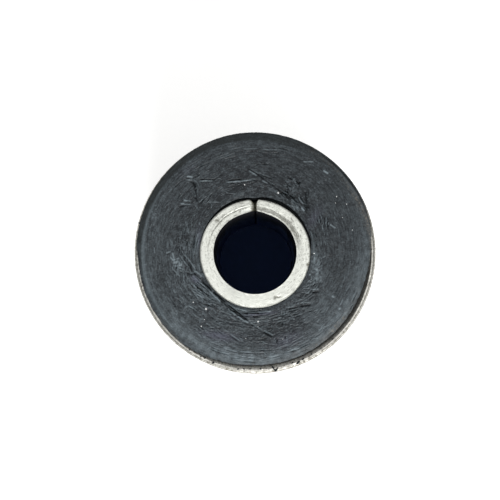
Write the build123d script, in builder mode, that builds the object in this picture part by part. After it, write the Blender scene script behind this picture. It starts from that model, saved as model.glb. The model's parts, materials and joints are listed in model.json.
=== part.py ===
"""Rubber metal bush: a split steel sleeve bonded inside a rubber ring, in a steel tube.

The bush stands on one end. Z runs up its bore, Z = 0 is the lower end of the inner
sleeve, and the sleeve's seam faces +Y. All lengths are in millimetres.
"""

import os
from math import cos, radians, sin

from build123d import *

os.makedirs("parts", exist_ok=True)

# Inner sleeve, rolled from strip: its seam stays open
bush_length = 40.0
bore_diameter = 12.0
sleeve_wall = 2.0
bore_chamfer = 0.6
sleeve_edge_break = 0.2
seam_gap_at_bore = 0.5
seam_gap_outside = 0.65
seam_round_at_bore = 0.15
seam_round_outside = 0.4

# Outer tube, pressed into its housing
outside_diameter = 35.0
tube_wall = 1.5
tube_inner_chamfer = 0.9
tube_lead_in = 0.25

# Rubber: how it stands beyond the tube and how its ends are shaped
sleeve_stand = 0.3
lip_height = 0.6
bevel_height = 0.55
bevel_width = 1.15
bevel_round = 1.0
lip_inset = 0.33
lip_shift = 0.32

# The gap where the rubber has drawn away from the tube, at the upper end only
draw_back_reach = 1.0
draw_back_depth = 0.4
draw_back_direction = 300
draw_back_spread = 60

# The gap that has opened around the inner sleeve, at the upper end only
parting_width = 0.15
parting_depth = 0.45
parting_shift = 0.12
parting_direction = 70

# Radii that the pieces share
bore_radius = bore_diameter / 2
sleeve_radius = bore_radius + sleeve_wall
tube_radius = outside_diameter / 2
tube_bore_radius = tube_radius - tube_wall
lip_radius = tube_radius - lip_inset

# Heights that the pieces share
middle_z = bush_length / 2
face_z = bush_length - sleeve_stand
bevel_z = face_z - bevel_height
tube_top_z = bevel_z - lip_height
tube_length = 2 * (tube_top_z - middle_z)


def polar(radius, angle):
    """Gives the point at a radius and an angle in degrees, counted from +X."""
    return (radius * cos(radians(angle)), radius * sin(radians(angle)))


# Inner sleeve: a turned blank, cut down to the section of the rolled strip
with BuildPart() as inner_sleeve:
    with BuildSketch(Plane.XZ) as blank_section:
        with Locations((bore_radius + sleeve_wall / 2, middle_z)):
            Rectangle(sleeve_wall, bush_length)
        chamfer(blank_section.vertices().group_by(Axis.X)[0], length=bore_chamfer)
        chamfer(blank_section.vertices().group_by(Axis.X)[-1], length=sleeve_edge_break)
    revolve(axis=Axis.Z)

    # The ring's two ends face each other across a gap that widens outwards
    with BuildSketch() as rolled_section:
        Circle(sleeve_radius)
        Circle(bore_radius, mode=Mode.SUBTRACT)
        with BuildLine():
            Polyline(
                (-seam_gap_at_bore / 2, bore_radius - seam_gap_at_bore),
                (seam_gap_at_bore / 2, bore_radius - seam_gap_at_bore),
                (seam_gap_outside / 2, sleeve_radius),
                (seam_gap_outside / 2, sleeve_radius + seam_gap_outside),
                (-seam_gap_outside / 2, sleeve_radius + seam_gap_outside),
                (-seam_gap_outside / 2, sleeve_radius),
                close=True,
            )
        make_face(mode=Mode.SUBTRACT)
        seam_corners = rolled_section.vertices().sort_by(Axis.Y)[-4:]
        fillet(seam_corners[:2], radius=seam_round_at_bore)
        outside_corners = rolled_section.vertices().sort_by(Axis.Y)[-2:]
        fillet(outside_corners, radius=seam_round_outside)
    extrude(amount=bush_length, mode=Mode.INTERSECT)

inner_sleeve.part.label = "inner_sleeve"
export_step(inner_sleeve.part, "parts/inner_sleeve.step")


# Outer tube: a short lead-in outside for pressing, a wide chamfer inside for the rubber
with BuildPart() as outer_sleeve:
    with BuildSketch(Plane.XY.offset(middle_z)):
        Circle(tube_radius)
        Circle(tube_bore_radius, mode=Mode.SUBTRACT)
    extrude(amount=tube_length / 2, both=True)
    end_edges = outer_sleeve.edges().filter_by(GeomType.CIRCLE).group_by(SortBy.RADIUS)
    chamfer(end_edges[0], length=tube_inner_chamfer)
    chamfer(end_edges[-1], length=tube_lead_in)

outer_sleeve.part.label = "outer_sleeve"
export_step(outer_sleeve.part, "parts/outer_sleeve.step")


# Rubber: fills the tube, flares into its chamfers and laps over its ends
with BuildPart() as rubber_body:
    with BuildSketch(Plane.XY.offset(middle_z)):
        Circle(tube_bore_radius)
    extrude(amount=tube_length / 2)

    with Locations((0, 0, tube_top_z - tube_inner_chamfer)):
        Cone(
            bottom_radius=tube_bore_radius,
            top_radius=tube_bore_radius + tube_inner_chamfer,
            height=tube_inner_chamfer,
            align=(Align.CENTER, Align.CENTER, Align.MIN),
        )

    # The moulded end sits off centre towards the seam, so its lip covers the tube there
    with BuildSketch(Plane.XZ.offset(-lip_shift)) as lip_section:
        with BuildLine():
            Polyline(
                (0, tube_top_z),
                (lip_radius, tube_top_z),
                (lip_radius, bevel_z),
                (lip_radius - bevel_width, face_z),
                (0, face_z),
                close=True,
            )
        make_face()
        face_corner = lip_section.vertices().group_by(Axis.Y)[-1].sort_by(Axis.X)[-1]
        fillet(face_corner, radius=bevel_round)
    revolve(axis=Axis((0, lip_shift, 0), (0, 0, 1)))
    mirror(about=Plane.XY.offset(middle_z))

    # Crescent where the upper lip has drawn back and bares the tube's end
    with BuildSketch(Plane.XY.offset(tube_top_z - draw_back_depth)):
        with BuildLine():
            crescent_start = polar(tube_radius, draw_back_direction - draw_back_spread)
            crescent_end = polar(tube_radius, draw_back_direction + draw_back_spread)
            ThreePointArc(
                crescent_start,
                polar(tube_radius - draw_back_reach, draw_back_direction),
                crescent_end,
            )
            ThreePointArc(
                crescent_end,
                polar(tube_radius + draw_back_reach, draw_back_direction),
                crescent_start,
            )
        make_face()
    extrude(amount=draw_back_depth + lip_height + bevel_height, mode=Mode.SUBTRACT)

    # Bore for the inner sleeve, with the gap that has opened at its upper end
    with BuildSketch():
        Circle(sleeve_radius)
    extrude(amount=bush_length, mode=Mode.SUBTRACT)
    with BuildSketch(Plane.XY.offset(face_z)):
        with Locations(polar(parting_shift, parting_direction)):
            Circle(sleeve_radius + parting_width)
    extrude(amount=-parting_depth, mode=Mode.SUBTRACT)

rubber_body.part.label = "rubber_body"
export_step(rubber_body.part, "parts/rubber_body.step")
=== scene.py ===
"""Rubber metal bush, seen almost straight down on its upper end.

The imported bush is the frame: its sizes are read from there, and each detail that only
shows up close is a named value of the piece that has it. Lengths are in metres, apart
from the marks on the rubber's face, which are given in millimetres.
"""

import json
import logging
from collections.abc import Callable
from dataclasses import dataclass
from enum import Enum
from itertools import chain, starmap
from math import cos, pi, radians, sin

import bmesh
import bpy
import numpy as np
from mathutils import Matrix, Vector


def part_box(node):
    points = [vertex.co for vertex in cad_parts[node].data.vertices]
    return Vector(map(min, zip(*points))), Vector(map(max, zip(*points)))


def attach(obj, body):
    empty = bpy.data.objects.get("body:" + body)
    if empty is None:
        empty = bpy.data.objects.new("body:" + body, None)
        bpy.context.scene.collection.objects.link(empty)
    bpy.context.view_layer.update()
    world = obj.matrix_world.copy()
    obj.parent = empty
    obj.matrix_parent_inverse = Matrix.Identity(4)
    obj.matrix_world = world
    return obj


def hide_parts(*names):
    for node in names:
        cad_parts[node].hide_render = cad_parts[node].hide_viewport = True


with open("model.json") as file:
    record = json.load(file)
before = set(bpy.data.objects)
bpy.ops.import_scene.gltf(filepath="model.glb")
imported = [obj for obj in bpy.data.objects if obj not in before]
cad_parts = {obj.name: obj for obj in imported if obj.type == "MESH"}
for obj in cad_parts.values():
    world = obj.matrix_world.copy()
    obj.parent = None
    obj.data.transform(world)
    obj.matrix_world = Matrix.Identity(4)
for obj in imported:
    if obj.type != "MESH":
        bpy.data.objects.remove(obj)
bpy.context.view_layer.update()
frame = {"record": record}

Colour = tuple[float, float, float, float]
Socket = bpy.types.NodeSocket
Array = np.ndarray

MM = 0.001
BODY = "root"
WHITE: Colour = (1.0, 1.0, 1.0, 1.0)

# The radius at which a turned grain is as long as its finish says
SWIRL_RADIUS = 13.0 * MM

log = logging.getLogger("bush")


@dataclass(frozen=True)
class BushSizes:
    """The sizes that the pieces share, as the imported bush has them."""

    length: float
    bore_radius: float
    sleeve_radius: float
    tube_radius: float
    tube_low: float
    tube_high: float
    face_low: float
    face_high: float
    lip_radius: float
    lip_shift: float

    @classmethod
    def from_frame(cls) -> "BushSizes":
        """Reads the sizes from the nodes' boxes and the bore's mount.

        Returns:
            The sizes, in metres.
        """
        sleeve_low, sleeve_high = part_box("inner_sleeve")
        tube_low, tube_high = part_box("outer_sleeve")
        rubber_low, rubber_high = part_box("rubber_body")
        mounts = {mount["name"]: mount for mount in frame["record"]["mounts"]}
        return cls(
            length=sleeve_high.z,
            bore_radius=mounts["bolt_bore"]["dims"]["r_mm"] * MM,
            sleeve_radius=(sleeve_high.x - sleeve_low.x) / 2,
            tube_radius=(tube_high.x - tube_low.x) / 2,
            tube_low=tube_low.z,
            tube_high=tube_high.z,
            face_low=rubber_low.z,
            face_high=rubber_high.z,
            lip_radius=(rubber_high.x - rubber_low.x) / 2,
            lip_shift=(rubber_high.y + rubber_low.y) / 2,
        )

    @property
    def sleeve_wall(self) -> float:
        """Gives the thickness of the sleeve's wall."""
        return self.sleeve_radius - self.bore_radius


def smooth_step(value: Array) -> Array:
    """Eases from 0 to 1 as the value does: 3 v^2 - 2 v^3, held at both ends.

    Args:
        value: where each point is between the start and the end of the step.

    Returns:
        The eased values.
    """
    held = np.clip(value, 0.0, 1.0)
    return held * held * (3.0 - 2.0 * held)


def hump(value: Array, centre: float, width: float) -> Array:
    """Gives exp(-((value - centre) / width)^2): 1 at the centre, falling off to both sides."""
    return np.exp(-(((value - centre) / width) ** 2))


def turn_from(angle: Array, centre: float) -> Array:
    """Gives the turn from the centre, in degrees, to each direction, in radians: -180 to 180."""
    return (np.degrees(angle) - centre + 180.0) % 360.0 - 180.0


@dataclass(frozen=True)
class Arc:
    """A soft-edged stretch of the way round the bush, in degrees from +X."""

    centre: float
    spread: float

    def share(self, angle: Array) -> Array:
        """Gives exp(-(d / spread)^2), d being how far each direction, in radians, is from the centre."""
        return hump(turn_from(angle, self.centre), 0.0, self.spread)


def heading(azimuth: float, elevation: float) -> Vector:
    """Gives the unit vector (cos a cos e, sin a cos e, sin e) for two angles in degrees."""
    a, e = radians(azimuth), radians(elevation)
    return Vector((cos(a) * cos(e), sin(a) * cos(e), sin(e)))


def ripples(x: Array, y: Array, wavelength: float, seed: int, waves: int = 20) -> Array:
    """Gives an uneven surface: the sum of plane waves of random direction and phase.

    Each wave is sin(k . p + phase) with k between 0.6 and 1.6 times 2 pi / wavelength, and
    the sum is divided by the root of the number of waves, so its usual size is about 1.

    Args:
        x: first coordinate of each point.
        y: second coordinate of each point.
        wavelength: middle wavelength, in the unit of the coordinates.
        seed: starts the random draws.
        waves: how many waves are added.

    Returns:
        The height at each point, without unit.
    """
    draw = np.random.default_rng(seed)
    turn = draw.uniform(0.0, 2 * pi, waves)
    number = 2 * pi / wavelength * draw.uniform(0.6, 1.6, waves)
    phase = draw.uniform(0.0, 2 * pi, waves)
    along = np.multiply.outer(x, number * np.cos(turn)) + np.multiply.outer(y, number * np.sin(turn))
    return np.sin(along + phase).sum(axis=-1) / np.sqrt(waves)


@dataclass
class Patch:
    """A grid of points on a surface, with a value for each named attribute at each point."""

    points: Array
    around: bool = False
    attributes: dict[str, Array] | None = None

    def cells(self) -> Array:
        """Lists the four corners of each cell; with around, the last column meets the first.

        Returns:
            One row of four point numbers for each cell, point (i, j) being i * columns + j.
        """
        rows, columns = self.points.shape[:2]
        i = np.arange(rows - 1)[:, None]
        j = np.arange(columns if self.around else columns - 1)[None, :]
        k = (j + 1) % columns
        near, far = i * columns, (i + 1) * columns
        return np.stack([near + j, far + j, far + k, near + k], axis=-1).reshape(-1, 4)


def welded_object(name: str, patches: list[Patch], sharp_angle: float = radians(40)) -> bpy.types.Object:
    """Joins patches into one closed mesh whose faces all point outwards.

    Args:
        name: the piece's name.
        patches: grids that share their edge points.
        sharp_angle: edges that turn by more than this are shaded sharp.

    Returns:
        The new object, at the origin, with its place in its mesh.
    """
    points = np.concatenate([patch.points.reshape(-1, 3) for patch in patches])
    starts = np.cumsum([0] + [patch.points.shape[0] * patch.points.shape[1] for patch in patches])
    cells = np.concatenate([patch.cells() + start for patch, start in zip(patches, starts)])
    mesh = bpy.data.meshes.new(name)
    mesh.from_pydata(points, [], cells)
    for attribute in patches[0].attributes or {}:
        values = np.concatenate([patch.attributes[attribute].ravel() for patch in patches])
        layer = mesh.attributes.new(attribute, "FLOAT", "POINT")
        layer.data.foreach_set("value", values.astype(np.float32))

    shell = bmesh.new()
    shell.from_mesh(mesh)
    bmesh.ops.remove_doubles(shell, verts=shell.verts, dist=1e-7)
    bmesh.ops.recalc_face_normals(shell, faces=shell.faces)
    shell.to_mesh(mesh)
    shell.free()
    mesh.shade_smooth()
    mesh.set_sharp_from_angle(angle=sharp_angle)
    piece = bpy.data.objects.new(name, mesh)
    bpy.context.scene.collection.objects.link(piece)
    return piece


def polar_points(radius: Array, angle: Array, height: Array) -> Array:
    """Turns radius, angle and height into points: x = r cos a, y = r sin a, z = h.

    Args:
        radius: distance from the bore's axis.
        angle: angle from +X, in radians.
        height: height above the floor.

    Returns:
        The points, with x, y and z in the last axis.
    """
    radius, angle, height = np.broadcast_arrays(radius, angle, height)
    return np.stack([radius * np.cos(angle), radius * np.sin(angle), height], axis=-1)


def ball_angles(rows: int, columns: int) -> tuple[Array, Array]:
    """Gives the grid of angles over a ball.

    Args:
        rows: points from pole to pole.
        columns: points round the ball.

    Returns:
        The angle from the pole, 0 to pi, and the angle round it, 0 to just under 2 pi.
    """
    down = np.linspace(0.0, pi, rows)[:, None]
    turn = np.linspace(0.0, 2 * pi, columns, endpoint=False)[None, :]
    return tuple(np.broadcast_arrays(down, turn))


class Nodes:
    """Builds a node tree with short calls. What is called a value may also be a socket."""

    def __init__(self, tree: bpy.types.NodeTree) -> None:
        """Keeps the tree."""
        self.tree = tree

    def add(self, kind: str, **settings: object) -> bpy.types.Node:
        """Adds a node and sets its properties.

        Args:
            kind: the node's type name.
            settings: properties by name.

        Returns:
            The node.
        """
        node = self.tree.nodes.new(kind)
        for key, value in settings.items():
            setattr(node, key, value)
        return node

    def feed(self, socket: Socket, value: object) -> None:
        """Links a socket to another, or sets it to a plain value.

        Args:
            socket: the input to feed.
            value: another socket or a plain value.
        """
        if isinstance(value, Socket):
            self.tree.links.new(value, socket)
        else:
            socket.default_value = value

    def math(self, operation: str, first: object, second: object, clamp: bool = False) -> Socket:
        """Adds a Math node.

        Args:
            operation: the node's operation.
            first: first value.
            second: second value.
            clamp: whether the result is held between 0 and 1.

        Returns:
            The node's output.
        """
        node = self.add("ShaderNodeMath", operation=operation, use_clamp=clamp)
        self.feed(node.inputs[0], first)
        self.feed(node.inputs[1], second)
        return node.outputs[0]

    def times(self, first: object, second: object, clamp: bool = False) -> Socket:
        """Multiplies two values."""
        return self.math("MULTIPLY", first, second, clamp)

    def plus(self, first: object, second: object, clamp: bool = False) -> Socket:
        """Adds two values."""
        return self.math("ADD", first, second, clamp)

    def less(self, value: object, share: float) -> Socket:
        """Gives 1 - share * value."""
        return self.math("SUBTRACT", 1.0, self.times(value, share))

    def larger(self, first: object, second: object) -> Socket:
        """Gives the larger of two values."""
        return self.math("MAXIMUM", first, second)

    def layered(self, *layers: tuple[object, object]) -> Socket:
        """Adds up layers, each times its share.

        Args:
            layers: pairs of a layer's value and its share.

        Returns:
            The sum.
        """
        total, *others = [self.times(layer, share) for layer, share in layers]
        for other in others:
            total = self.plus(total, other)
        return total

    def vector(self, operation: str, first: object, second: object = (0.0, 0.0, 0.0)) -> Socket:
        """Adds a Vector Math node.

        Args:
            operation: the node's operation.
            first: first vector.
            second: second vector, where the operation takes one.

        Returns:
            The node's vector, or its value where the operation gives one.
        """
        node = self.add("ShaderNodeVectorMath", operation=operation)
        self.feed(node.inputs[0], first)
        self.feed(node.inputs[1], second)
        return node.outputs["Value" if operation in ("LENGTH", "DOT_PRODUCT") else "Vector"]

    def band(
        self, value: object, low: float, high: float, to_low: float = 0.0, to_high: float = 1.0
    ) -> Socket:
        """Maps a value smoothly from one range to another and holds it at both ends.

        Args:
            value: value to map.
            low: value that gives to_low.
            high: value that gives to_high.
            to_low: result at low.
            to_high: result at high.

        Returns:
            The mapped value's socket.
        """
        node = self.add("ShaderNodeMapRange", interpolation_type="SMOOTHSTEP")
        for socket, part in zip(node.inputs, (value, low, high, to_low, to_high)):
            self.feed(socket, part)
        return node.outputs[0]

    def place(self) -> Socket:
        """Gives the point's place on the object, in metres."""
        return self.add("ShaderNodeTexCoord").outputs["Object"]

    def noise(self, place: object, scale: float, detail: float = 2.0, rough: float = 0.5) -> Socket:
        """Adds a Noise Texture.

        Args:
            place: the place's socket.
            scale: cells per metre.
            detail: how many finer layers are added.
            rough: weight of the finer layers.

        Returns:
            The noise's value, about 0 to 1.
        """
        node = self.add("ShaderNodeTexNoise")
        self.feed(node.inputs["Vector"], place)
        node.inputs["Scale"].default_value = scale
        node.inputs["Detail"].default_value = detail
        node.inputs["Roughness"].default_value = rough
        return node.outputs["Fac"]

    def swirl(self, place: object, centre_y: float, across: float, along: float, detail: float) -> Socket:
        """Gives noise drawn out round the turning axis, as a lathe tool leaves it.

        It is read at (radius / across, direction * reference radius / along), the direction
        being the unit vector from the axis, so there is no seam.

        Args:
            place: the place's socket.
            centre_y: the turning axis's place along Y.
            across: size of a cell along the radius, in metres.
            along: its length round the axis, at the reference radius.
            detail: how many finer layers are added.

        Returns:
            The noise's value, about 0 to 1.
        """
        from_axis = self.vector("SUBTRACT", place, (0.0, centre_y, 0.0))
        flat = self.vector("MULTIPLY", from_axis, (1.0, 1.0, 0.0))
        parts = self.add("ShaderNodeSeparateXYZ")
        self.feed(parts.inputs[0], self.vector("NORMALIZE", flat))
        read_at = self.add("ShaderNodeCombineXYZ")
        self.feed(read_at.inputs[0], self.math("DIVIDE", self.vector("LENGTH", flat), across))
        for socket, part in zip(read_at.inputs[1:], parts.outputs):
            self.feed(socket, self.times(part, SWIRL_RADIUS / along))
        return self.noise(read_at.outputs[0], 1.0, detail, 0.6)

    def value(self, name: str) -> Socket:
        """Reads one of the piece's own values, point by point."""
        return self.add("ShaderNodeAttribute", attribute_name=name).outputs["Fac"]

    def mix(self, share: object, first: object, second: object) -> Socket:
        """Mixes two colours.

        Args:
            share: how much of the second colour shows, 0 to 1.
            first: first colour, as red, green, blue and alpha.
            second: second colour.

        Returns:
            The mixed colour's socket.
        """
        node = self.add("ShaderNodeMix", data_type="RGBA", clamp_factor=True)
        self.feed(node.inputs[0], share)
        self.feed(node.inputs[6], first)
        self.feed(node.inputs[7], second)
        return node.outputs[2]

    def bump(self, height: object, distance: float, strength: float, under: Socket | None = None) -> Socket:
        """Adds a Bump node.

        Args:
            height: the height's socket, without unit.
            distance: what a height of 1 is, in metres.
            strength: how much of the bump shows.
            under: the normal that it is laid over.

        Returns:
            The new normal's socket.
        """
        node = self.add("ShaderNodeBump")
        self.feed(node.inputs["Height"], height)
        node.inputs["Distance"].default_value = distance
        node.inputs["Strength"].default_value = strength
        if under is not None:
            self.feed(node.inputs["Normal"], under)
        return node.outputs[0]


class Surface(Nodes):
    """Builds one material's node tree round its Principled shader."""

    def __init__(self, name: str) -> None:
        """Makes the material and keeps its shader.

        Args:
            name: the material's name.
        """
        self.material = bpy.data.materials.new(name)
        self.material.use_nodes = True
        super().__init__(self.material.node_tree)
        self.shader = self.tree.nodes["Principled BSDF"]

    def look(self, name: str, value: object) -> None:
        """Feeds one of the shader's inputs."""
        self.feed(self.shader.inputs[name], value)


@dataclass(frozen=True)
class RubberFinish:
    """Black rubber, turned at its ends, with a grey bloom where it has been rubbed.

    The sizes of a turned cell are its width along the radius and its length round the axis.
    """

    base: Colour = (0.0074, 0.0100, 0.0122, 1.0)
    # Near-black that grimy places and painted shade turn the rubber to
    deep: Colour = (0.0020, 0.0025, 0.0030, 1.0)
    bloom: Colour = (0.144, 0.176, 0.194, 1.0)
    violet: Colour = (0.080, 0.080, 0.118, 1.0)
    green: Colour = (0.0085, 0.0112, 0.0115, 1.0)
    dust: Colour = (0.27, 0.230, 0.180, 1.0)
    roughness: float = 0.50
    shine: float = 0.28
    level: float = 0.110
    middle: float = 0.30
    least_worn: float = 0.50
    dash_size: tuple[float, float] = (0.19 * MM, 0.85 * MM)
    arc_size: tuple[float, float] = (0.30 * MM, 5.5 * MM)

    def material(self, sizes: BushSizes) -> bpy.types.Material:
        """Builds the rubber's material.

        The share of bloom is a level, plus the piece's tones and scuff, plus layers of noise:
        short dashes and long arcs that follow the turning, and a grain and mottle that don't. The
        tones are partly painted light and shade, mostly paler towards the bottom and darker towards
        the top. Polish takes most of the bloom away, as on the moulded bevel, which lies on the upper
        left, away from the light, so that it also paints shade; pits break it up. Grimy places and
        painted shade go near-black and lose most of their sheen.

        Args:
            sizes: the bush's sizes, for the axis that the marks turn about.

        Returns:
            The material.
        """
        nodes = Surface("bush_rubber")
        place = nodes.place()
        dashes = nodes.swirl(place, sizes.lip_shift, *self.dash_size, 1.0)
        arcs = nodes.swirl(place, sizes.lip_shift, *self.arc_size, 2.0)
        blotches = nodes.noise(place, 360.0, 3.0, 0.6)
        mottle = nodes.noise(place, 1500.0, 2.0, 0.6)
        grain = nodes.noise(place, 4600.0, 1.0, 0.6)
        flecks = nodes.noise(place, 3600.0, 0.0)
        pits = nodes.band(nodes.noise(place, 2100.0, 1.0), 0.36, 0.28)
        specks = nodes.band(nodes.noise(place, 3100.0, 1.0), 0.56, 0.64)
        polish_and_painted_shade, grime_and_painted_shade = nodes.value("polish_and_painted_shade"), nodes.value("grime_and_painted_shade")

        texture = nodes.layered(
            (nodes.band(dashes, 0.34, 0.72), 0.27),
            (nodes.band(arcs, 0.36, 0.68), 0.12),
            (nodes.band(blotches, 0.36, 0.66), 0.07),
            (nodes.band(mottle, 0.36, 0.68), 0.10),
            (nodes.band(grain, 0.34, 0.72), 0.24),
            (nodes.band(flecks, 0.70, 0.78), 0.35),
        )
        texture = nodes.math("SUBTRACT", nodes.times(texture, nodes.less(pits, 0.55)), self.middle)
        shade = nodes.times(texture, nodes.plus(nodes.value("worn"), self.least_worn))
        # Tones: partly painted light and shade, mostly paler towards the bottom and darker towards the top
        shade = nodes.plus(shade, nodes.plus(nodes.value("tone_and_painted_light"), self.level))
        # The moulded bevel's darker finish, laid only on the upper left, away from the light, so also painted
        # shade
        shade = nodes.times(shade, nodes.less(polish_and_painted_shade, 0.70))
        shade = nodes.plus(shade, nodes.value("scuff"), True)

        colour = nodes.mix(shade, nodes.mix(polish_and_painted_shade, self.base, self.green), self.bloom)
        colour = nodes.mix(nodes.value("haze"), colour, self.violet)
        caught = nodes.times(nodes.value("dust"), nodes.band(specks, 0.0, 1.0, 0.14, 0.60))
        colour = nodes.mix(caught, colour, self.dust)
        # Grimy places and painted shade go near-black, and below, lose most of their sheen
        nodes.look("Base Color", nodes.mix(grime_and_painted_shade, colour, self.deep))
        nodes.look("Specular IOR Level", nodes.times(nodes.less(grime_and_painted_shade, 0.75), self.shine))
        nodes.look("Roughness", nodes.band(mottle, 0.3, 0.75, self.roughness - 0.08, self.roughness + 0.12))

        normal = nodes.bump(grain, 0.06 * MM, 0.7)
        normal = nodes.bump(dashes, 0.07 * MM, 0.7, normal)
        nodes.look("Normal", nodes.bump(arcs, 0.05 * MM, 0.5, normal))
        return nodes.material


@dataclass(frozen=True)
class SteelFinish:
    """Bare steel: dull, with faint stains, and dark where it is grimy and where shade is painted on."""

    name: str
    base: Colour
    stain: Colour
    roughness: float
    mottle_scale: float
    mottle_share: float
    end_turned: bool
    grain_share: float
    # The first colour below is the near-black of grimy places and painted shade; the second, a lighter navy
    # far down the bore, is painted light
    dark: Colour = (0.0012, 0.0018, 0.004, 1.0)
    painted_bore_light: Colour = (0.16, 0.24, 0.46, 1.0)
    rust: Colour = (0.060, 0.055, 0.033, 1.0)
    dark_roughness: float = 0.55
    turned_size: tuple[float, float] = (0.11 * MM, 1.3 * MM)
    drawn: tuple[float, float, float] = (1.0, 1.0, 0.02)
    drawn_scale: float = 2400.0

    def material(self) -> bpy.types.Material:
        """Builds the steel's material.

        Grimy places and painted shade make it dark and dull, less dark far down the bore,
        where a lighter navy is painted light; rust makes it olive brown and dull, and tarnished
        places and painted shade grey in streaks. Where it is plain, the spots and the grain are faint.

        Returns:
            The material.
        """
        nodes = Surface(self.name)
        place = nodes.place()
        if self.end_turned:
            grain = nodes.swirl(place, 0.0, *self.turned_size, 1.0)
        else:
            grain = nodes.noise(nodes.vector("MULTIPLY", place, self.drawn), self.drawn_scale, 3.0)
        mottle = nodes.noise(place, self.mottle_scale, 2.0, 0.65)
        fine = nodes.noise(place, 4300.0, 1.0)
        blotches = nodes.noise(place, 170.0, 3.0, 0.6)
        grime_and_painted_shade, rust, tarnish_and_painted_shade = nodes.value("grime_and_painted_shade"), nodes.value("rust"), nodes.value("tarnish_and_painted_shade")
        plain, depth = nodes.value("plain"), nodes.value("depth")

        spots = nodes.layered(
            (nodes.band(mottle, 0.50, 0.72), self.mottle_share),
            (nodes.band(fine, 0.56, 0.70), 0.40),
        )
        grain_share = nodes.band(plain, 0.0, 1.0, 1.15 * self.grain_share, 0.6 * self.grain_share)
        stained = nodes.layered(
            (spots, nodes.band(plain, 0.0, 1.0, 1.0, 0.12)),
            (nodes.band(blotches, 0.50, 0.75), 0.26),
            (nodes.band(grain, 0.52, 0.74), grain_share),
        )
        streaks = nodes.times(tarnish_and_painted_shade, nodes.band(grain, 0.25, 0.65, 0.70, 1.0))
        colour = nodes.mix(nodes.plus(stained, streaks, True), self.base, self.stain)
        patchy = nodes.times(rust, nodes.band(mottle, 0.30, 0.60, 0.45, 1.0), True)
        colour = nodes.mix(patchy, colour, self.rust)
        # Painted shade: near-black at the top of the bore, turning to a lighter navy painted light deeper
        # down
        nodes.look("Base Color", nodes.mix(grime_and_painted_shade, colour, nodes.mix(depth, self.dark, self.painted_bore_light)))

        dull = nodes.larger(nodes.larger(grime_and_painted_shade, patchy), nodes.times(tarnish_and_painted_shade, 1.15))
        dull = nodes.larger(dull, nodes.value("matt"))
        nodes.look("Metallic", nodes.band(dull, 0.3, 0.9, 1.0, 0.0))
        rough = nodes.band(mottle, 0.3, 0.75, self.roughness - 0.05, self.roughness + 0.12)
        rougher = nodes.times(dull, self.dark_roughness - self.roughness)
        nodes.look("Roughness", nodes.plus(rough, rougher))
        normal = nodes.bump(fine, 0.03 * MM, 0.5)
        nodes.look("Normal", nodes.bump(grain, 0.02 * MM, 0.6, normal))
        return nodes.material


class Steel(Enum):
    """The steels of the bush."""

    SLEEVE = SteelFinish(
        name="bush_sleeve_steel",
        base=(0.81, 0.825, 0.765, 1.0),
        stain=(0.17, 0.17, 0.148, 1.0),
        roughness=0.42,
        mottle_scale=1100.0,
        mottle_share=0.13,
        end_turned=True,
        grain_share=0.44,
    )
    TUBE = SteelFinish(
        name="bush_tube_steel",
        base=(0.74, 0.73, 0.68, 1.0),
        stain=(0.20, 0.185, 0.150, 1.0),
        roughness=0.42,
        mottle_scale=2600.0,
        mottle_share=0.55,
        end_turned=False,
        grain_share=0.20,
    )


@dataclass(frozen=True)
class GritFinish:
    """Pale dust caught on the rubber."""

    base: Colour = (0.66, 0.67, 0.66, 1.0)
    shade: Colour = (0.42, 0.43, 0.43, 1.0)
    roughness: float = 0.8

    def material(self) -> bpy.types.Material:
        """Builds the grit's material, uneven from grain to grain.

        Returns:
            The material.
        """
        nodes = Surface("bush_grit")
        share = nodes.band(nodes.noise(nodes.place(), 3000.0), 0.35, 0.65)
        nodes.look("Base Color", nodes.mix(share, self.base, self.shade))
        nodes.shader.inputs["Roughness"].default_value = self.roughness
        return nodes.material


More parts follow.
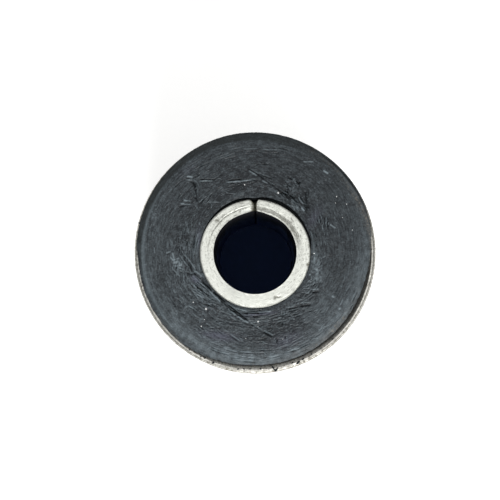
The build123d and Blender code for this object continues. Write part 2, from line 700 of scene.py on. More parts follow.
@dataclass(frozen=True)
class Cut:
    """A scratch, gouge or crease in the rubber's upper face, from (x0, y0) to (x1, y1).

    Lengths are in millimetres, from the bore's axis. The burr is the height of the ridge on
    each side, and the bow is how far the middle lies to the left of the straight line.
    """

    x0: float
    y0: float
    x1: float
    y1: float
    width: float
    depth: float
    burr: float
    shine: float
    dark: float
    bow: float = 0.0

    def along_and_aside(self, x: Array, y: Array) -> tuple[Array, Array]:
        """Gives each point's place in the cut's own terms.

        Args:
            x: first coordinate of each point, in millimetres.
            y: second coordinate of each point, in millimetres.

        Returns:
            u, from 0 at the start to 1 at the end, and the distance to the left of the bowed
            line, v = distance from the straight line minus bow * 4 u (1 - u).
        """
        run_x, run_y = self.x1 - self.x0, self.y1 - self.y0
        length = np.hypot(run_x, run_y)
        u = ((x - self.x0) * run_x + (y - self.y0) * run_y) / length**2
        v = ((y - self.y0) * run_x - (x - self.x0) * run_y) / length
        held = np.clip(u, 0.0, 1.0)
        return u, v - self.bow * 4.0 * held * (1.0 - held)

    def near(self, x: Array, y: Array) -> Array:
        """Tells which points lie near enough for the cut to matter.

        Args:
            x: first coordinate of each point, in millimetres.
            y: second coordinate of each point, in millimetres.

        Returns:
            True for each point inside the box of the cut, with room for its bow and ridges.
        """
        room = abs(self.bow) + 2.5 * self.width
        left, right = sorted((self.x0, self.x1))
        low, high = sorted((self.y0, self.y1))
        return (x > left - room) & (x < right + room) & (y > low - room) & (y < high + room)

    def envelope(self, u: Array) -> Array:
        """Eases the cut in and out over a sixth of its length at each end."""
        return smooth_step(u * 6.0) * smooth_step((1.0 - u) * 6.0)

    def relief(self, x: Array, y: Array) -> Array:
        """Gives the cut's height: a bell-shaped groove with a low ridge on each side.

        Height = -depth exp(-(2 v / width)^2) + burr exp(-((|v| - width) / (0.4 width))^2).

        Args:
            x: first coordinate of each point, in millimetres.
            y: second coordinate of each point, in millimetres.

        Returns:
            The height that the cut adds, in millimetres.
        """
        u, v = self.along_and_aside(x, y)
        groove = -self.depth * hump(v, 0.0, self.width / 2)
        ridge = self.burr * hump(np.abs(v), self.width, 0.4 * self.width)
        return (groove + ridge) * self.envelope(u)

    def lightness(self, x: Array, y: Array) -> Array:
        """Gives how much the torn edge on the cut's left has paled, 0 to 1."""
        u, v = self.along_and_aside(x, y)
        return self.shine * hump(v, 0.8 * self.width, 0.45 * self.width) * self.envelope(u)

    def darkness(self, x: Array, y: Array) -> Array:
        """Gives how dark the bottom of the groove is, 0 to 1: painted shade in the groove."""
        u, v = self.along_and_aside(x, y)
        return self.dark * hump(v, 0.0, self.width / 2.2) * self.envelope(u)


@dataclass(frozen=True)
class Smear:
    """A soft-edged patch on the rubber's upper face, in millimetres and degrees."""

    centre: tuple[float, float]
    length: float
    width: float
    turn: float
    strength: float

    def share(self, x: Array, y: Array) -> Array:
        """Gives strength * exp(-(u^2 + v^2)), u and v being distances in half lengths and widths.

        Args:
            x: first coordinate of each point, in millimetres.
            y: second coordinate of each point, in millimetres.

        Returns:
            The share at each point.
        """
        turn = radians(self.turn)
        from_x, from_y = x - self.centre[0], y - self.centre[1]
        u = (from_x * cos(turn) + from_y * sin(turn)) / (self.length / 2)
        v = (from_y * cos(turn) - from_x * sin(turn)) / (self.width / 2)
        return self.strength * np.exp(-(u * u + v * v))


@dataclass(frozen=True)
class Band:
    """A soft-edged stretch of ring on the upper face, in degrees and millimetres."""

    angle: float
    spread: float
    radius: float
    width: float
    strength: float

    def share(self, x: Array, y: Array) -> Array:
        """Gives strength * exp(-(a / spread)^2 - (2 (r - radius) / width)^2), a being the angle away."""
        round_it = Arc(self.angle, self.spread).share(np.arctan2(y, x))
        return self.strength * round_it * hump(np.hypot(x, y), self.radius, self.width / 2)


@dataclass(frozen=True)
class Strokes:
    """Fine strokes that run about one way, scattered over a stretch of ring on the upper face.

    The lean is how far they turn from the direction of turning, and the scatter how far
    single ones stray from it. Directions are in degrees and lengths in millimetres.
    """

    angle: float
    spread: float
    radius: float
    reach: float
    count: int
    length: float
    lean: float
    scatter: float
    shine: float
    dark: float
    width: float = 0.15

    def cuts(self, seed: int) -> list[Cut]:
        """Draws the strokes: place, lean and length at random, some pale and some dark.

        Args:
            seed: starts the random draws.

        Returns:
            One cut for each stroke.
        """
        draw = np.random.default_rng(seed)
        angle = np.radians(self.angle + self.spread * draw.uniform(-1.0, 1.0, self.count))
        radius = self.radius + self.reach * draw.uniform(-1.0, 1.0, self.count)
        turn = angle + pi / 2 + np.radians(self.lean + self.scatter * draw.standard_normal(self.count))
        half = self.length / 2 * draw.uniform(0.5, 1.5, self.count)
        pale = draw.uniform(0.0, 1.0, self.count)
        middle = np.stack([radius * np.cos(angle), radius * np.sin(angle)], axis=-1)
        reach = half[:, None] * np.stack([np.cos(turn), np.sin(turn)], axis=-1)
        return [
            Cut(*start, *end, width=self.width, depth=0.02 + 0.05 * (1.0 - share),
                burr=0.01 + 0.03 * share, shine=self.shine * share, dark=self.dark * (1.0 - share))
            for start, end, share in zip(middle - reach, middle + reach, pale)
        ]


class FaceMarks:
    """What has happened to the upper face, place by place."""

    FIRST_SEED = 100

    # In each: x and y of the start, x and y of the end, width, depth, burr, shine, dark, bow
    CUTS = tuple(starmap(Cut, (
        # The bundle of gouges that runs down the left and past the sleeve
        (-12.77, -0.22, -12.11, 0, 0.2, 0.03, 0.05, 0.6, 0.1),
        (-12.11, 0, -11.85, -0.87, 0.22, 0.03, 0.06, 0.7, 0.1),
        (-11.61, -1.29, -10.89, -2.15, 0.45, 0.02, 0.06, 0.75, 0),
        (-11.9, -1.18, -10.82, -0.98, 0.2, 0.02, 0.04, 0.4, 0.1),
        (-11.76, -1.99, -10.67, -2.48, 0.24, 0.02, 0.05, 0.5, 0.2),
        (-10.36, -0.38, -8.65, -2.73, 0.2, 0.06, 0.06, 0.5, 0.3, 0.1),
        (-10.56, -0.58, -8.88, -2.83, 0.24, 0.08, 0.02, 0, 0.75, 0.1),
        (-8.65, -2.73, -7.72, -3.64, 0.2, 0.04, 0.06, 0.5, 0.2),
        (-8.88, -2.83, -7.83, -3.91, 0.26, 0.1, 0.03, 0, 0.85),
        (-10.79, 0.32, -10.13, -0.81, 0.18, 0.06, 0.03, 0.2, 0.6),
        (-11.17, -0.15, -9.87, -2.05, 0.18, 0.04, 0.05, 0.35, 0.3),
        (-9.95, -2.86, -8.91, -3.26, 0.24, 0.09, 0.03, 0.2, 0.9),
        (-10.44, -2.97, -10.21, -4.6, 0.2, 0.03, 0.06, 0.5, 0.2, -0.1),
        (-10.21, -3.52, -9.95, -4.82, 0.18, 0.05, 0.02, 0, 0.5),
        (-7.87, -3.88, -6.16, -5.58, 0.22, 0.13, 0.04, 0, 1),
        (-6.2, -5.54, -4.18, -7.31, 0.22, 0.14, 0.04, 0, 1, 0.03),
        (-4.3, -7.21, -0.72, -10.12, 0.24, 0.16, 0.05, 0, 1, 0.03),
        (-7.99, -4.5, -6.55, -5.68, 0.2, 0.08, 0.05, 0.4, 0.8),
        (-5.13, -6.78, -3.26, -8.33, 0.18, 0.1, 0.04, 0, 0.9),
        (-3.32, -8.29, -1.23, -9.92, 0.2, 0.11, 0.05, 0, 0.95),
        (-4.07, -7.33, -1.73, -9.13, 0.12, 0.02, 0.05, 0.45, 0),
        (-4.11, -8.21, -2.74, -9.23, 0.2, 0.03, 0.07, 0.75, 0),
        (-2.74, -9.26, -0.92, -10.32, 0.26, 0.03, 0.09, 1, 0),
        (-6.7, -5.68, -4.99, -7.33, 0.22, 0.03, 0.07, 0.75, 0),
        (-6.99, -6.2, -5.68, -7.21, 0.18, 0.06, 0.03, 0, 0.6),
        (-0.79, -10.23, 1.09, -11.39, 0.22, 0.06, 0.05, 0.4, 0.6),
        (1.09, -11.36, 2.62, -12.16, 0.26, 0.12, 0.06, 0.5, 0.95),
        (-3.72, -11.87, -2.28, -12.84, 0.22, 0.07, 0.05, 0.45, 0.6),
        (-8.45, -4.98, -7.5, -5.54, 0.24, 0.08, 0.04, 0.2, 0.8),
        (-8.42, -4.44, -7.41, -5.45, 0.18, 0.03, 0.05, 0.55, 0),
        (-8.88, -4.04, -8.16, -4.93, 0.18, 0.03, 0.05, 0.45, 0.2),
        # Below the sleeve
        (-2.02, -8.46, -1.15, -8.59, 0.2, 0.02, 0.05, 0.5, 0),
        (-1.01, -8.94, 2.45, -8.61, 0.22, 0.02, 0.06, 0.7, 0, -0.06),
        (-1.07, -8.88, -0.29, -8.91, 0.32, 0.01, 0.05, 0.7, 0),
        (-0.72, -9.26, 2.16, -8.88, 0.2, 0.07, 0.02, 0, 0.75, -0.06),
        (-1.59, -8.31, 1.01, -8.33, 0.16, 0.05, 0.02, 0, 0.5, -0.08),
        # Upper left
        (-9.93, 10.87, -8.99, 10.74, 0.22, 0.03, 0.07, 1, 0),
        (-10.17, 10.47, -9.19, 10.32, 0.16, 0.04, 0.04, 0.3, 0.3),
        (-9.3, 10.32, -8.61, 9.25, 0.24, 0.12, 0.04, 0, 1, 0.18),
        (-8.61, 9.31, -8.7, 8.18, 0.26, 0.12, 0.03, 0, 1),
        (-8.87, 8.93, -8.78, 8.06, 0.18, 0.02, 0.06, 0.95, 0),
        (-8.22, 10.59, -5.59, 10.49, 0.2, 0.09, 0.02, 0, 0.85, 0.04),
        (-8.22, 10.22, -5.92, 10.26, 0.16, 0.02, 0.05, 0.5, 0),
        (-6.31, 10.49, -4.51, 11.79, 0.2, 0.05, 0.03, 0.1, 0.4, -0.22),
        (-10.83, 6.91, -9.19, 6.85, 0.18, 0.03, 0.05, 0.75, 0),
        (-10.4, 7.37, -9.19, 7.34, 0.16, 0.03, 0.05, 0.65, 0),
        (-10.46, 7.66, -9.99, 7.4, 0.16, 0.03, 0.05, 0.5, 0),
        (-10.98, 6.67, -10.17, 6.65, 0.2, 0.08, 0.02, 0, 0.95),
        (-10.31, 7.12, -9.19, 7.09, 0.18, 0.07, 0.02, 0, 0.8),
        (-8.75, 8.13, -8.12, 7.14, 0.2, 0.08, 0.02, 0, 0.8),
        (-8.12, 7.05, -6.86, 8.13, 0.16, 0.03, 0.05, 0.4, 0.2),
        (-7.22, 8.12, -7.91, 6.85, 0.2, 0.08, 0.02, 0, 0.8),
        (-7.22, 7.22, -4.87, 7.15, 0.14, 0.02, 0.04, 0.28, 0),
        (-12.34, 1.82, -11.83, 0.78, 0.16, 0.03, 0.04, 0.3, 0.1),
        (-14.72, 0.81, -14.6, -0.2, 0.18, 0.03, 0.04, 0.35, 0.1),
        (-8.99, 10.41, -8.23, 9.34, 0.18, 0.06, 0.03, 0.3, 0.4, 0.18),
        (-8.44, 9.28, -8.46, 8.12, 0.16, 0.05, 0.03, 0.2, 0.5),
        (-7.08, 7.16, -6.21, 8.61, 0.16, 0.06, 0.03, 0.2, 0.5),
        # Upper middle
        (-4.06, 10.43, -1.76, 10.65, 0.2, 0.1, 0.02, 0, 0.95),
        (-4.33, 9.97, 0.4, 10.5, 0.2, 0.03, 0.06, 0.65, 0, -0.04),
        (-1.26, 12.29, 1.53, 10.43, 0.2, 0.1, 0.03, 0.1, 0.9, 0.08),
        (-1.07, 11.76, 0.23, 10.91, 0.26, 0.02, 0.06, 0.55, 0),
        (0.36, 11.42, 2.53, 10.65, 0.18, 0.06, 0.04, 0.2, 0.6),
        (2.11, 10.98, 2.74, 10.79, 0.26, 0.06, 0.02, 0, 0.6),
        (0.87, 10.32, 1.88, 9.82, 0.2, 0.03, 0.05, 0.5, 0),
        (1.44, 10.49, 4.04, 8.66, 0.18, 0.07, 0.03, 0.1, 0.6),
        (-4.33, 8.61, -2.72, 8.41, 0.16, 0.02, 0.05, 0.28, 0, -0.1),
        (1.1, 14.78, 3.3, 14.72, 0.16, 0.03, 0.03, 0.35, 0.3),
        (-1.88, 14.82, 0.51, 14.92, 0.16, 0.03, 0.03, 0.3, 0.3),
        # Upper right
        (9.68, 11.71, 10.49, 11.19, 0.28, 0.02, 0.06, 0.85, 0),
        (6.86, 13.03, 8.55, 13, 0.18, 0.03, 0.04, 0.55, 0.1),
        (6.36, 13.32, 7.8, 13.29, 0.16, 0.05, 0.02, 0, 0.5),
        (7.26, 8.89, 7.42, 6.87, 0.26, 0.11, 0.03, 0, 0.85),
        (7.74, 9.1, 7.68, 8.11, 0.2, 0.06, 0.03, 0.1, 0.6),
        (7.45, 7.16, 7.76, 5.14, 0.6, 0.02, 0.01, 0, 0.45),
        (4.71, 8.55, 6.26, 6.96, 0.24, 0.09, 0.04, 0.15, 0.8, 0.1),
        (5.14, 7.65, 5.95, 6.81, 0.22, 0.02, 0.06, 0.55, 0),
        (6.47, 6.35, 6.96, 5.83, 0.3, 0.02, 0.06, 0.8, 0),
        (6.15, 8.03, 6.99, 6.87, 0.2, 0.03, 0.06, 0.6, 0, -0.1),
        (6.44, 8.23, 7.19, 7.1, 0.22, 0.09, 0.02, 0, 0.8, -0.1),
        (4.04, 8.66, 5.2, 7.74, 0.2, 0.08, 0.04, 0.2, 0.7),
        (10.68, 3.95, 11.57, 3.37, 0.26, 0.02, 0.06, 0.85, 0),
        (10.88, 4.21, 11.66, 3.7, 0.2, 0.08, 0.02, 0, 0.8),
        (10.76, 3.52, 11.4, 3.08, 0.16, 0.05, 0.02, 0, 0.5),
        # Lower right
        (4.75, -8.19, 6.42, -7.74, 0.2, 0.08, 0.02, 0, 0.75),
        (6.28, -7.77, 8.21, -7.5, 0.26, 0.11, 0.03, 0, 1),
        (6.38, -7.4, 8.21, -7.25, 0.16, 0.02, 0.05, 0.35, 0),
        (4.9, -8.54, 6.34, -8.16, 0.16, 0.05, 0.02, 0, 0.6),
        (8.15, -5.77, 9.31, -5.6, 0.24, 0.1, 0.03, 0, 0.95),
        (8.07, -5.48, 9.28, -5.35, 0.16, 0.02, 0.05, 0.45, 0),
        (10.95, -6.29, 11.23, -6.66, 0.26, 0.02, 0.05, 0.7, 0),
        (11.92, -7.93, 11.98, -8.31, 0.3, 0.02, 0.05, 0.8, 0),
        (2.45, -9.28, 4.89, -8.91, 0.16, 0.05, 0.02, 0, 0.5),
    )))
    # In each: angle, spread, radius, reach, count, length, lean, scatter, shine, dark, width
    STROKES = tuple(starmap(Strokes, (
        # Beside the gouges, and in the pale patch where they start
        (212, 18, 9.8, 0.9, 34, 1.3, 16, 7, 0.45, 0.42),
        (213, 7, 9.5, 0.8, 14, 1.5, 18, 6, 0.6, 0.5),
        (190, 6, 11.5, 0.8, 24, 0.7, 20, 30, 0.8, 0.6, 0.18),
        (236, 12, 9.6, 0.6, 16, 1.4, 10, 5, 0.35, 0.8, 0.17),
        # Around the sleeve
        (262, 12, 8.7, 0.3, 14, 2, 0, 3, 0.3, 0.7),
        (270, 34, 9.8, 1.1, 34, 1.3, 0, 5, 0.28, 0.5),
        (180, 16, 8.9, 0.5, 16, 1.8, 0, 4, 0.42, 0.4),
        (172, 12, 10.2, 0.8, 16, 0.9, 6, 10, 0.26, 0.45),
        (159, 3.5, 10.5, 0.5, 10, 0.6, 21, 8, 0.45, 0.75, 0.16),
        (132, 22, 9.7, 1.2, 22, 0.8, 0, 30, 0.3, 0.45),
        (94, 22, 9.5, 1.2, 26, 0.9, 0, 16, 0.26, 0.45),
        (61.5, 5, 11.3, 0.9, 30, 0.7, 0, 40, 0.36, 0.85, 0.17),
        (54, 14, 9.4, 0.9, 44, 0.9, -6, 18, 0.42, 0.85, 0.17),
        (24, 4, 10.9, 0.6, 16, 0.9, -24, 8, 0.5, 0.75, 0.16),
        (18, 14, 9.8, 1.2, 22, 0.9, 0, 14, 0.34, 0.5),
        (345, 14, 9.2, 0.8, 34, 0.5, 0, 40, 0.46, 0.5, 0.16),
        (296, 8, 10.3, 0.9, 24, 1, -22, 8, 0.38, 0.8, 0.16),
        (296, 8, 10.3, 0.9, 12, 0.6, 64, 8, 0.34, 0.45),
        (322, 12, 9.6, 0.9, 22, 0.9, -22, 14, 0.34, 0.6, 0.16),
        # Farther out
        (112, 30, 12.6, 1.6, 34, 0.9, 4, 26, 0.24, 0.36),
        (150, 24, 14.2, 1.3, 26, 1.6, 0, 6, 0.26, 0.24, 0.16),
        (158.5, 3, 15.2, 0.5, 8, 0.7, -68, 6, 0.36, 0.1),
        (100, 30, 15, 0.9, 22, 2, 0, 4, 0.2, 0.24),
        (190, 24, 13, 1.6, 34, 0.8, 0, 24, 0.28, 0.34),
        (226, 20, 12.8, 1.8, 60, 0.8, 10, 16, 0.34, 0.55),
        (262, 26, 12.2, 1.4, 38, 0.8, 0, 20, 0.28, 0.42),
        (287, 4, 13.1, 0.5, 14, 0.5, 64, 20, 0.4, 0.6),
        (302, 18, 12.4, 1.4, 36, 0.6, -10, 30, 0.32, 0.45),
        (272, 26, 14.9, 0.9, 44, 1.7, 0, 3, 0.32, 0.2),
        (318, 22, 15.2, 0.8, 22, 1.4, 0, 5, 0.28, 0.22),
        (0, 24, 14, 1.6, 16, 1.4, 0, 5, 0.18, 0.16),
        (40, 20, 13.4, 1.6, 16, 0.6, 0, 30, 0.26, 0.2),
    )))
    WORN = tuple(starmap(Band, (
        (235, 55, 9.8, 3, 0.45),
        (185, 35, 10.2, 3.2, 0.3),
        (60, 45, 9.8, 3, 0.25),
        (320, 35, 9.6, 2.4, 0.15),
        (235, 60, 12.8, 3.4, 0.15),
        (265, 50, 15, 2.4, 0.25),
        (170, 50, 15.2, 1.6, 0.1),
    )))
    TONES_AND_PAINTED_LIGHT = tuple(starmap(Band, (
        # The pale bloom on the shoulder, most of it at the bottom, and other paler stretches:
        # partly painted light, paler on the lower side, where the light falls
        (262, 40, 15.6, 1.9, 0.36),
        (225, 24, 15.2, 2, 0.14),
        (325, 26, 15.2, 2.2, 0.24),
        (318, 16, 12.4, 2.8, 0.2),
        (350, 16, 15.9, 1.6, 0.16),
        (8, 18, 16.3, 1, 0.1),
        (28, 20, 16.85, 0.6, 0.12),
        (150, 45, 15.2, 1.2, 0.06),
        (200, 32, 11.6, 3.6, 0.08),
        (250, 26, 13.6, 2.6, 0.05),
        (345, 14, 9.4, 1.4, 0.08),
        (228, 14, 9.4, 1.2, 0.06),
        (255, 14, 14.2, 1.2, 0.05),
        (272, 16, 14.8, 1.8, 0.04),
        (28, 16, 14.8, 1.8, 0.03),
        (335, 12, 9.6, 2.4, 0.03),
        # Darker stretches: partly painted shade, darker towards the top, away from the light
        (98, 46, 9.4, 1.5, -0.06),
        (285, 18, 11.6, 2.6, -0.05),
        (2, 22, 13.6, 2.2, -0.02),
        (84, 62, 10.4, 4.8, -0.11),
        (292, 20, 12.2, 2.8, -0.1),
        (80, 60, 14.6, 2.6, -0.05),
        (152, 18, 9.8, 2.6, -0.05),
        (60, 50, 9.8, 2.6, -0.02),
        (212, 16, 9.8, 2.4, -0.03),
    )))
    LIGHT_SMEARS = tuple(starmap(Smear, (
        ((-11.2, -1.9), 2.6, 0.9, -48, 0.34),
        ((8.75, -1.4), 4.2, 1.1, 100, 0.5),
        ((9, -3.6), 2.4, 1.2, 120, 0.22),
        ((-13.6, -0.4), 3, 1, 80, 0.06),
        ((2.9, 8.9), 2, 0.8, -30, 0.2),
        ((-6.4, 8), 2, 2.6, 0, 0.06),
        ((-6.1, -6.5), 1.4, 0.5, -42, 0.25),
        ((-14.6, 5), 0.6, 3.2, 20, 0.12),
        ((-15, -3.6), 0.9, 4, -14, 0.12),
    )))
    VIOLET_SMEARS = tuple(starmap(Smear, (
        ((0.6, -8.85), 4.2, 0.5, 6, 0.5),
        ((-9.6, 12), 2.6, 1.2, 35, 0.08),
        ((-5.2, -12), 4.4, 1.2, -8, 0.45),
        ((-8.6, -3.9), 1.4, 0.9, -45, 0.5),
        ((4.6, -12.6), 4, 1.8, 20, 0.24),
        ((8.5, 5), 3, 1.4, 60, 0.2),
        ((-7.9, 1.6), 0.8, 3.6, 4, 0.3),
    )))
    DUST = tuple(starmap(Band, (
        (27, 12, 16.7, 1, 0.36),
        (14, 8, 16.9, 0.6, 0.45),
        (0, 18, 16.75, 0.4, 0.4),
        (50, 12, 16.8, 0.6, 0.2),
        (222, 14, 16.7, 0.4, 0.25),
        (316, 18, 15.9, 0.8, 0.5),
    )))

    @classmethod
    def cuts(cls) -> list[Cut]:
        """Lists all cuts, the scattered strokes last."""
        scattered = [strokes.cuts(seed) for seed, strokes in enumerate(cls.STROKES, cls.FIRST_SEED)]
        return [*cls.CUTS, *chain.from_iterable(scattered)]

    @classmethod
    def total(cls, part: Callable, x: Array, y: Array) -> Array:
        """Adds up one part of every cut, each over the points near it.

        Args:
            part: the cut's method that gives the part.
            x: first coordinate of each point, in millimetres.
            y: second coordinate of each point, in millimetres.

        Returns:
            The sum at each point.
        """
        result = np.zeros(x.shape)
        for cut in cls.cuts():
            near = cut.near(x, y)
            result[near] += part(cut, x[near], y[near])
        return result

    @staticmethod
    def shared(marks: tuple[Smear | Band, ...], x: Array, y: Array) -> Array:
        """Adds up the shares of several smears or bands."""
        return sum(mark.share(x, y) for mark in marks)

    @classmethod
    def relief(cls, x: Array, y: Array) -> Array:
        """Adds up the cuts' heights, in millimetres."""
        return cls.total(Cut.relief, x, y)

    @classmethod
    def scuff(cls, x: Array, y: Array) -> Array:
        """Adds up what makes the face lighter: torn edges and uneven smears.

        Args:
            x: first coordinate of each point, in millimetres.
            y: second coordinate of each point, in millimetres.

        Returns:
            The sum at each point, 0 to 1.
        """
        uneven = np.clip(0.7 + 0.6 * ripples(x, y, 0.8, 31), 0.1, 1.8)
        torn = 1.2 * cls.total(Cut.lightness, x, y)
        return np.clip(torn + cls.shared(cls.LIGHT_SMEARS, x, y) * uneven, 0.0, 1.0)

    @classmethod
    def grime_and_painted_shade(cls, x: Array, y: Array) -> Array:
        """Adds up what makes the face darker, 0 to 1: the painted shade in the cuts' grooves."""
        return np.clip(cls.total(Cut.darkness, x, y), 0.0, 1.0)

    @classmethod
    def haze(cls, x: Array, y: Array) -> Array:
        """Adds up the violet haze, 0 to 1."""
        return np.clip(cls.shared(cls.VIOLET_SMEARS, x, y), 0.0, 1.0)

    @classmethod
    def tone_and_painted_light(cls, x: Array, y: Array) -> Array:
        """Adds up how much lighter or darker whole stretches of the face are, partly painted light
        and shade: mostly paler towards the bottom and darker towards the top.
        """
        uneven = np.clip(0.9 + 0.35 * ripples(x, y, 1.6, 32), 0.2, 1.6)
        return cls.shared(cls.TONES_AND_PAINTED_LIGHT, x, y) * uneven

    @classmethod
    def worn(cls, x: Array, y: Array) -> Array:
        """Adds up how much more of the fine texture shows than where the face is smoothest."""
        uneven = np.clip(1.0 + 0.4 * ripples(x, y, 2.4, 33), 0.3, 1.8)
        return cls.shared(cls.WORN, x, y) * uneven

    @classmethod
    def dust(cls, x: Array, y: Array) -> Array:
        """Adds up how much dust is caught near the rim, 0 to 1."""
        return np.clip(cls.shared(cls.DUST, x, y), 0.0, 1.0)


@dataclass
class SleeveSection:
    """The rolled sleeve's section: round, but flatter where the strip's ends meet at +Y.

    Outside, the flattening is flat * exp(-(a / spread)^3), a being the angle away from the seam.
    """

    sizes: BushSizes
    seam_direction: float = 90.0
    outside_flat: float = 0.31 * MM
    outside_spread: float = 55.0
    bore_flat: float = 0.26 * MM
    bore_flat_at: Arc = Arc(90.0, 42.0)
    bore_peak: float = 0.24 * MM
    bore_peak_at: Arc = Arc(90.0, 14.0)

    def outside(self, angle: Array) -> Array:
        """Gives the outer radius in each direction."""
        away = np.abs(turn_from(angle, self.seam_direction))
        return self.sizes.sleeve_radius - self.outside_flat * np.exp(-((away / self.outside_spread) ** 3))

    def bore(self, angle: Array) -> Array:
        """Gives the inner radius in each direction: flattened too, with a peak at the seam itself."""
        flat = self.bore_flat * self.bore_flat_at.share(angle)
        return self.sizes.bore_radius - flat + self.bore_peak * self.bore_peak_at.share(angle)

    def between(self, angle: Array, share: Array) -> Array:
        """Gives the radius in each direction at a share of the wall, 0 at the bore."""
        return self.bore(angle) + (self.outside(angle) - self.bore(angle)) * share


@dataclass
class InnerSleeve:
    """The steel sleeve, rolled from strip, with an open seam towards +Y.

    It is a bent bar: each point has a share across the wall (0 at the bore, 1 outside), a
    share round from one side of the seam to the other, and a share up. Each of the bar's
    six sides is a grid with one of the three shares held at 0 or 1.

    A dent is given by its place along X and Y and its reach along both, in millimetres. The
    crowding is how far the columns crowd together at the seam, 0 to 1.
    """

    sizes: BushSizes
    gap_at_bore: float = 0.24 * MM
    gap_outside: float = 0.34 * MM
    corner_at_bore: float = 0.15 * MM
    corner_outside: float = 1.00 * MM
    corner_width: float = 0.36 * MM
    corner_left: float = 1.8
    seam_flare: float = 0.08 * MM
    flare_depth: float = 0.45 * MM
    chamfer_width: float = 0.86 * MM
    chamfer_least: float = 0.04 * MM
    chamfer_most: float = 0.42 * MM
    chamfer_blend: float = 0.012
    chamfer_at: Arc = Arc(44.0, 40.0)
    groove_width: float = 0.10 * MM
    groove_depth: float = 0.035 * MM
    groove_least: float = 0.25
    groove_at: Arc = Arc(130.0, 40.0)
    edge_round: float = 0.30 * MM
    burr_width: float = 0.12 * MM
    burr_rise: float = 0.09 * MM
    end_sunk: float = 0.012 * MM
    end_waves: float = 0.006 * MM
    dent_depth: float = 0.06 * MM
    dents_at: tuple[tuple[float, float, float, float], ...] = (
        (2.83, -6.49, 0.17, 0.24),
        (3.35, -6.39, 0.3, 0.14),
        (-5.45, 4.68, 0.22, 0.15),
        (7.62, -1.73, 0.16, 0.24),
    )
    dark_below: float = 0.03 * MM
    dark_ease: float = 0.08 * MM
    rust_left: float = 0.50 * MM
    rust_right: float = 0.16 * MM
    painted_chamfer_shade_at: Arc = Arc(62.0, 26.0)
    turned_at: Arc = Arc(132.0, 42.0)
    painted_rounding_shade_at: Arc = Arc(290.0, 52.0)
    smudge_at: Arc = Arc(40.0, 2.2)
    dulled_at: Arc = Arc(90.0, 40.0)
    patches_at: Arc = Arc(0.0, 50.0)
    plain_at: Arc = Arc(262.0, 62.0)
    painted_glint_at: Arc = Arc(46.0, 13.0)
    columns: int = 420
    crowding: float = 0.35
    steps_across: int = 40
    steps_up: int = 24

    def half_gap(self, radius: Array, depth: Array, left: Array | float = 0.0) -> Array:
        """Gives half the seam's width: a straight taper, rounded at both corners, flared at the ends.

        A rounded corner adds width * (d / depth)^2, d being how far the point has come into it.

        Args:
            radius: nominal distance from the bore's axis.
            depth: distance from the nearer end of the sleeve.
            left: 1 on the seam's left side, whose outer corner is larger.

        Returns:
            Half the gap at each point.
        """
        sizes = self.sizes
        share = (radius - sizes.bore_radius) / sizes.sleeve_wall
        taper = (self.gap_at_bore + (self.gap_outside - self.gap_at_bore) * share) / 2
        into_outer = np.clip(radius - sizes.sleeve_radius + self.corner_outside, 0.0, self.corner_outside)
        into_inner = np.clip(sizes.bore_radius + self.corner_at_bore - radius, 0.0, self.corner_at_bore)
        width = self.corner_width * (1.0 + (self.corner_left - 1.0) * left)
        outer = width * (into_outer / self.corner_outside) ** 2
        inner = self.corner_at_bore * (into_inner / self.corner_at_bore) ** 2
        flare = self.seam_flare * smooth_step(1.0 - depth / self.flare_depth)
        return taper + outer + inner + flare

    def end_drop(self, radius: Array, angle: Array) -> Array:
        """Gives how far the end lies below the sleeve's full length.

        It is flat, with a turned groove where it falls away in a chamfer towards the bore. The
        chamfer is cut deepest beside the seam, and a thin burr stands at its lower edge there.
        Outside, the end is rounded by a quarter circle.

        Args:
            radius: nominal distance from the bore's axis.
            angle: direction of each point.

        Returns:
            The drop at each point.
        """
        beside_seam = self.chamfer_at.share(angle)
        from_bore = radius - self.sizes.bore_radius
        share = 1.0 - from_bore / self.chamfer_width
        slope = (share + np.sqrt(share**2 + self.chamfer_blend)) / 2
        chamfer = (self.chamfer_least + (self.chamfer_most - self.chamfer_least) * beside_seam) * slope
        groove = self.groove_depth * hump(from_bore, self.chamfer_width, self.groove_width)
        burr = self.burr_rise * smooth_step(1.0 - from_bore / self.burr_width) * beside_seam
        into_edge = np.clip(radius - self.sizes.sleeve_radius + self.edge_round, 0.0, self.edge_round)
        edge = self.edge_round - np.sqrt(self.edge_round**2 - into_edge**2)
        return chamfer + groove * (self.groove_least + self.groove_at.share(angle)) - burr + edge

    def bar(self, across: Array, round_share: Array, up: Array) -> Array:
        """Places points of the bent bar.

        Args:
            across: share of the wall, 0 at the bore.
            round_share: share of the way round from one side of the seam to the other.
            up: share of the height.

        Returns:
            The points.
        """
        across, round_share, up = np.broadcast_arrays(across, round_share, up)
        sizes = self.sizes
        nominal = sizes.bore_radius + sizes.sleeve_wall * across
        depth = np.minimum(up, 1.0 - up) * sizes.length
        left = np.arcsin(self.half_gap(nominal, depth, 1.0) / nominal)
        right = np.arcsin(self.half_gap(nominal, depth) / nominal)
        angle = pi / 2 + left + (2 * pi - left - right) * round_share
        drop = self.end_drop(nominal, angle)
        height = drop + (sizes.length - 2 * drop) * up
        points = polar_points(SleeveSection(sizes).between(angle, across), angle, height)
        x, y = points[..., 0], points[..., 1]
        at_ends = smooth_step((np.abs(up - 0.5) - 0.49) / 0.01)
        on_face = at_ends * smooth_step((across - 0.02) / 0.1) * smooth_step((1.0 - across) / 0.08)
        sunk = self.end_sunk - self.end_waves * ripples(x, y, 1.3 * MM, 7)
        points[..., 2] += np.where(up > 0.5, self.dents(x, y) - sunk, sunk) * on_face
        return points

    def dents(self, x: Array, y: Array) -> Array:
        """Gives the small dents in the upper end, each a bell-shaped hollow."""
        hollows = [hump(x / MM, dent_x, wide) * hump(y / MM, dent_y, high)
                   for dent_x, dent_y, wide, high in self.dents_at]
        return -self.dent_depth * sum(hollows)

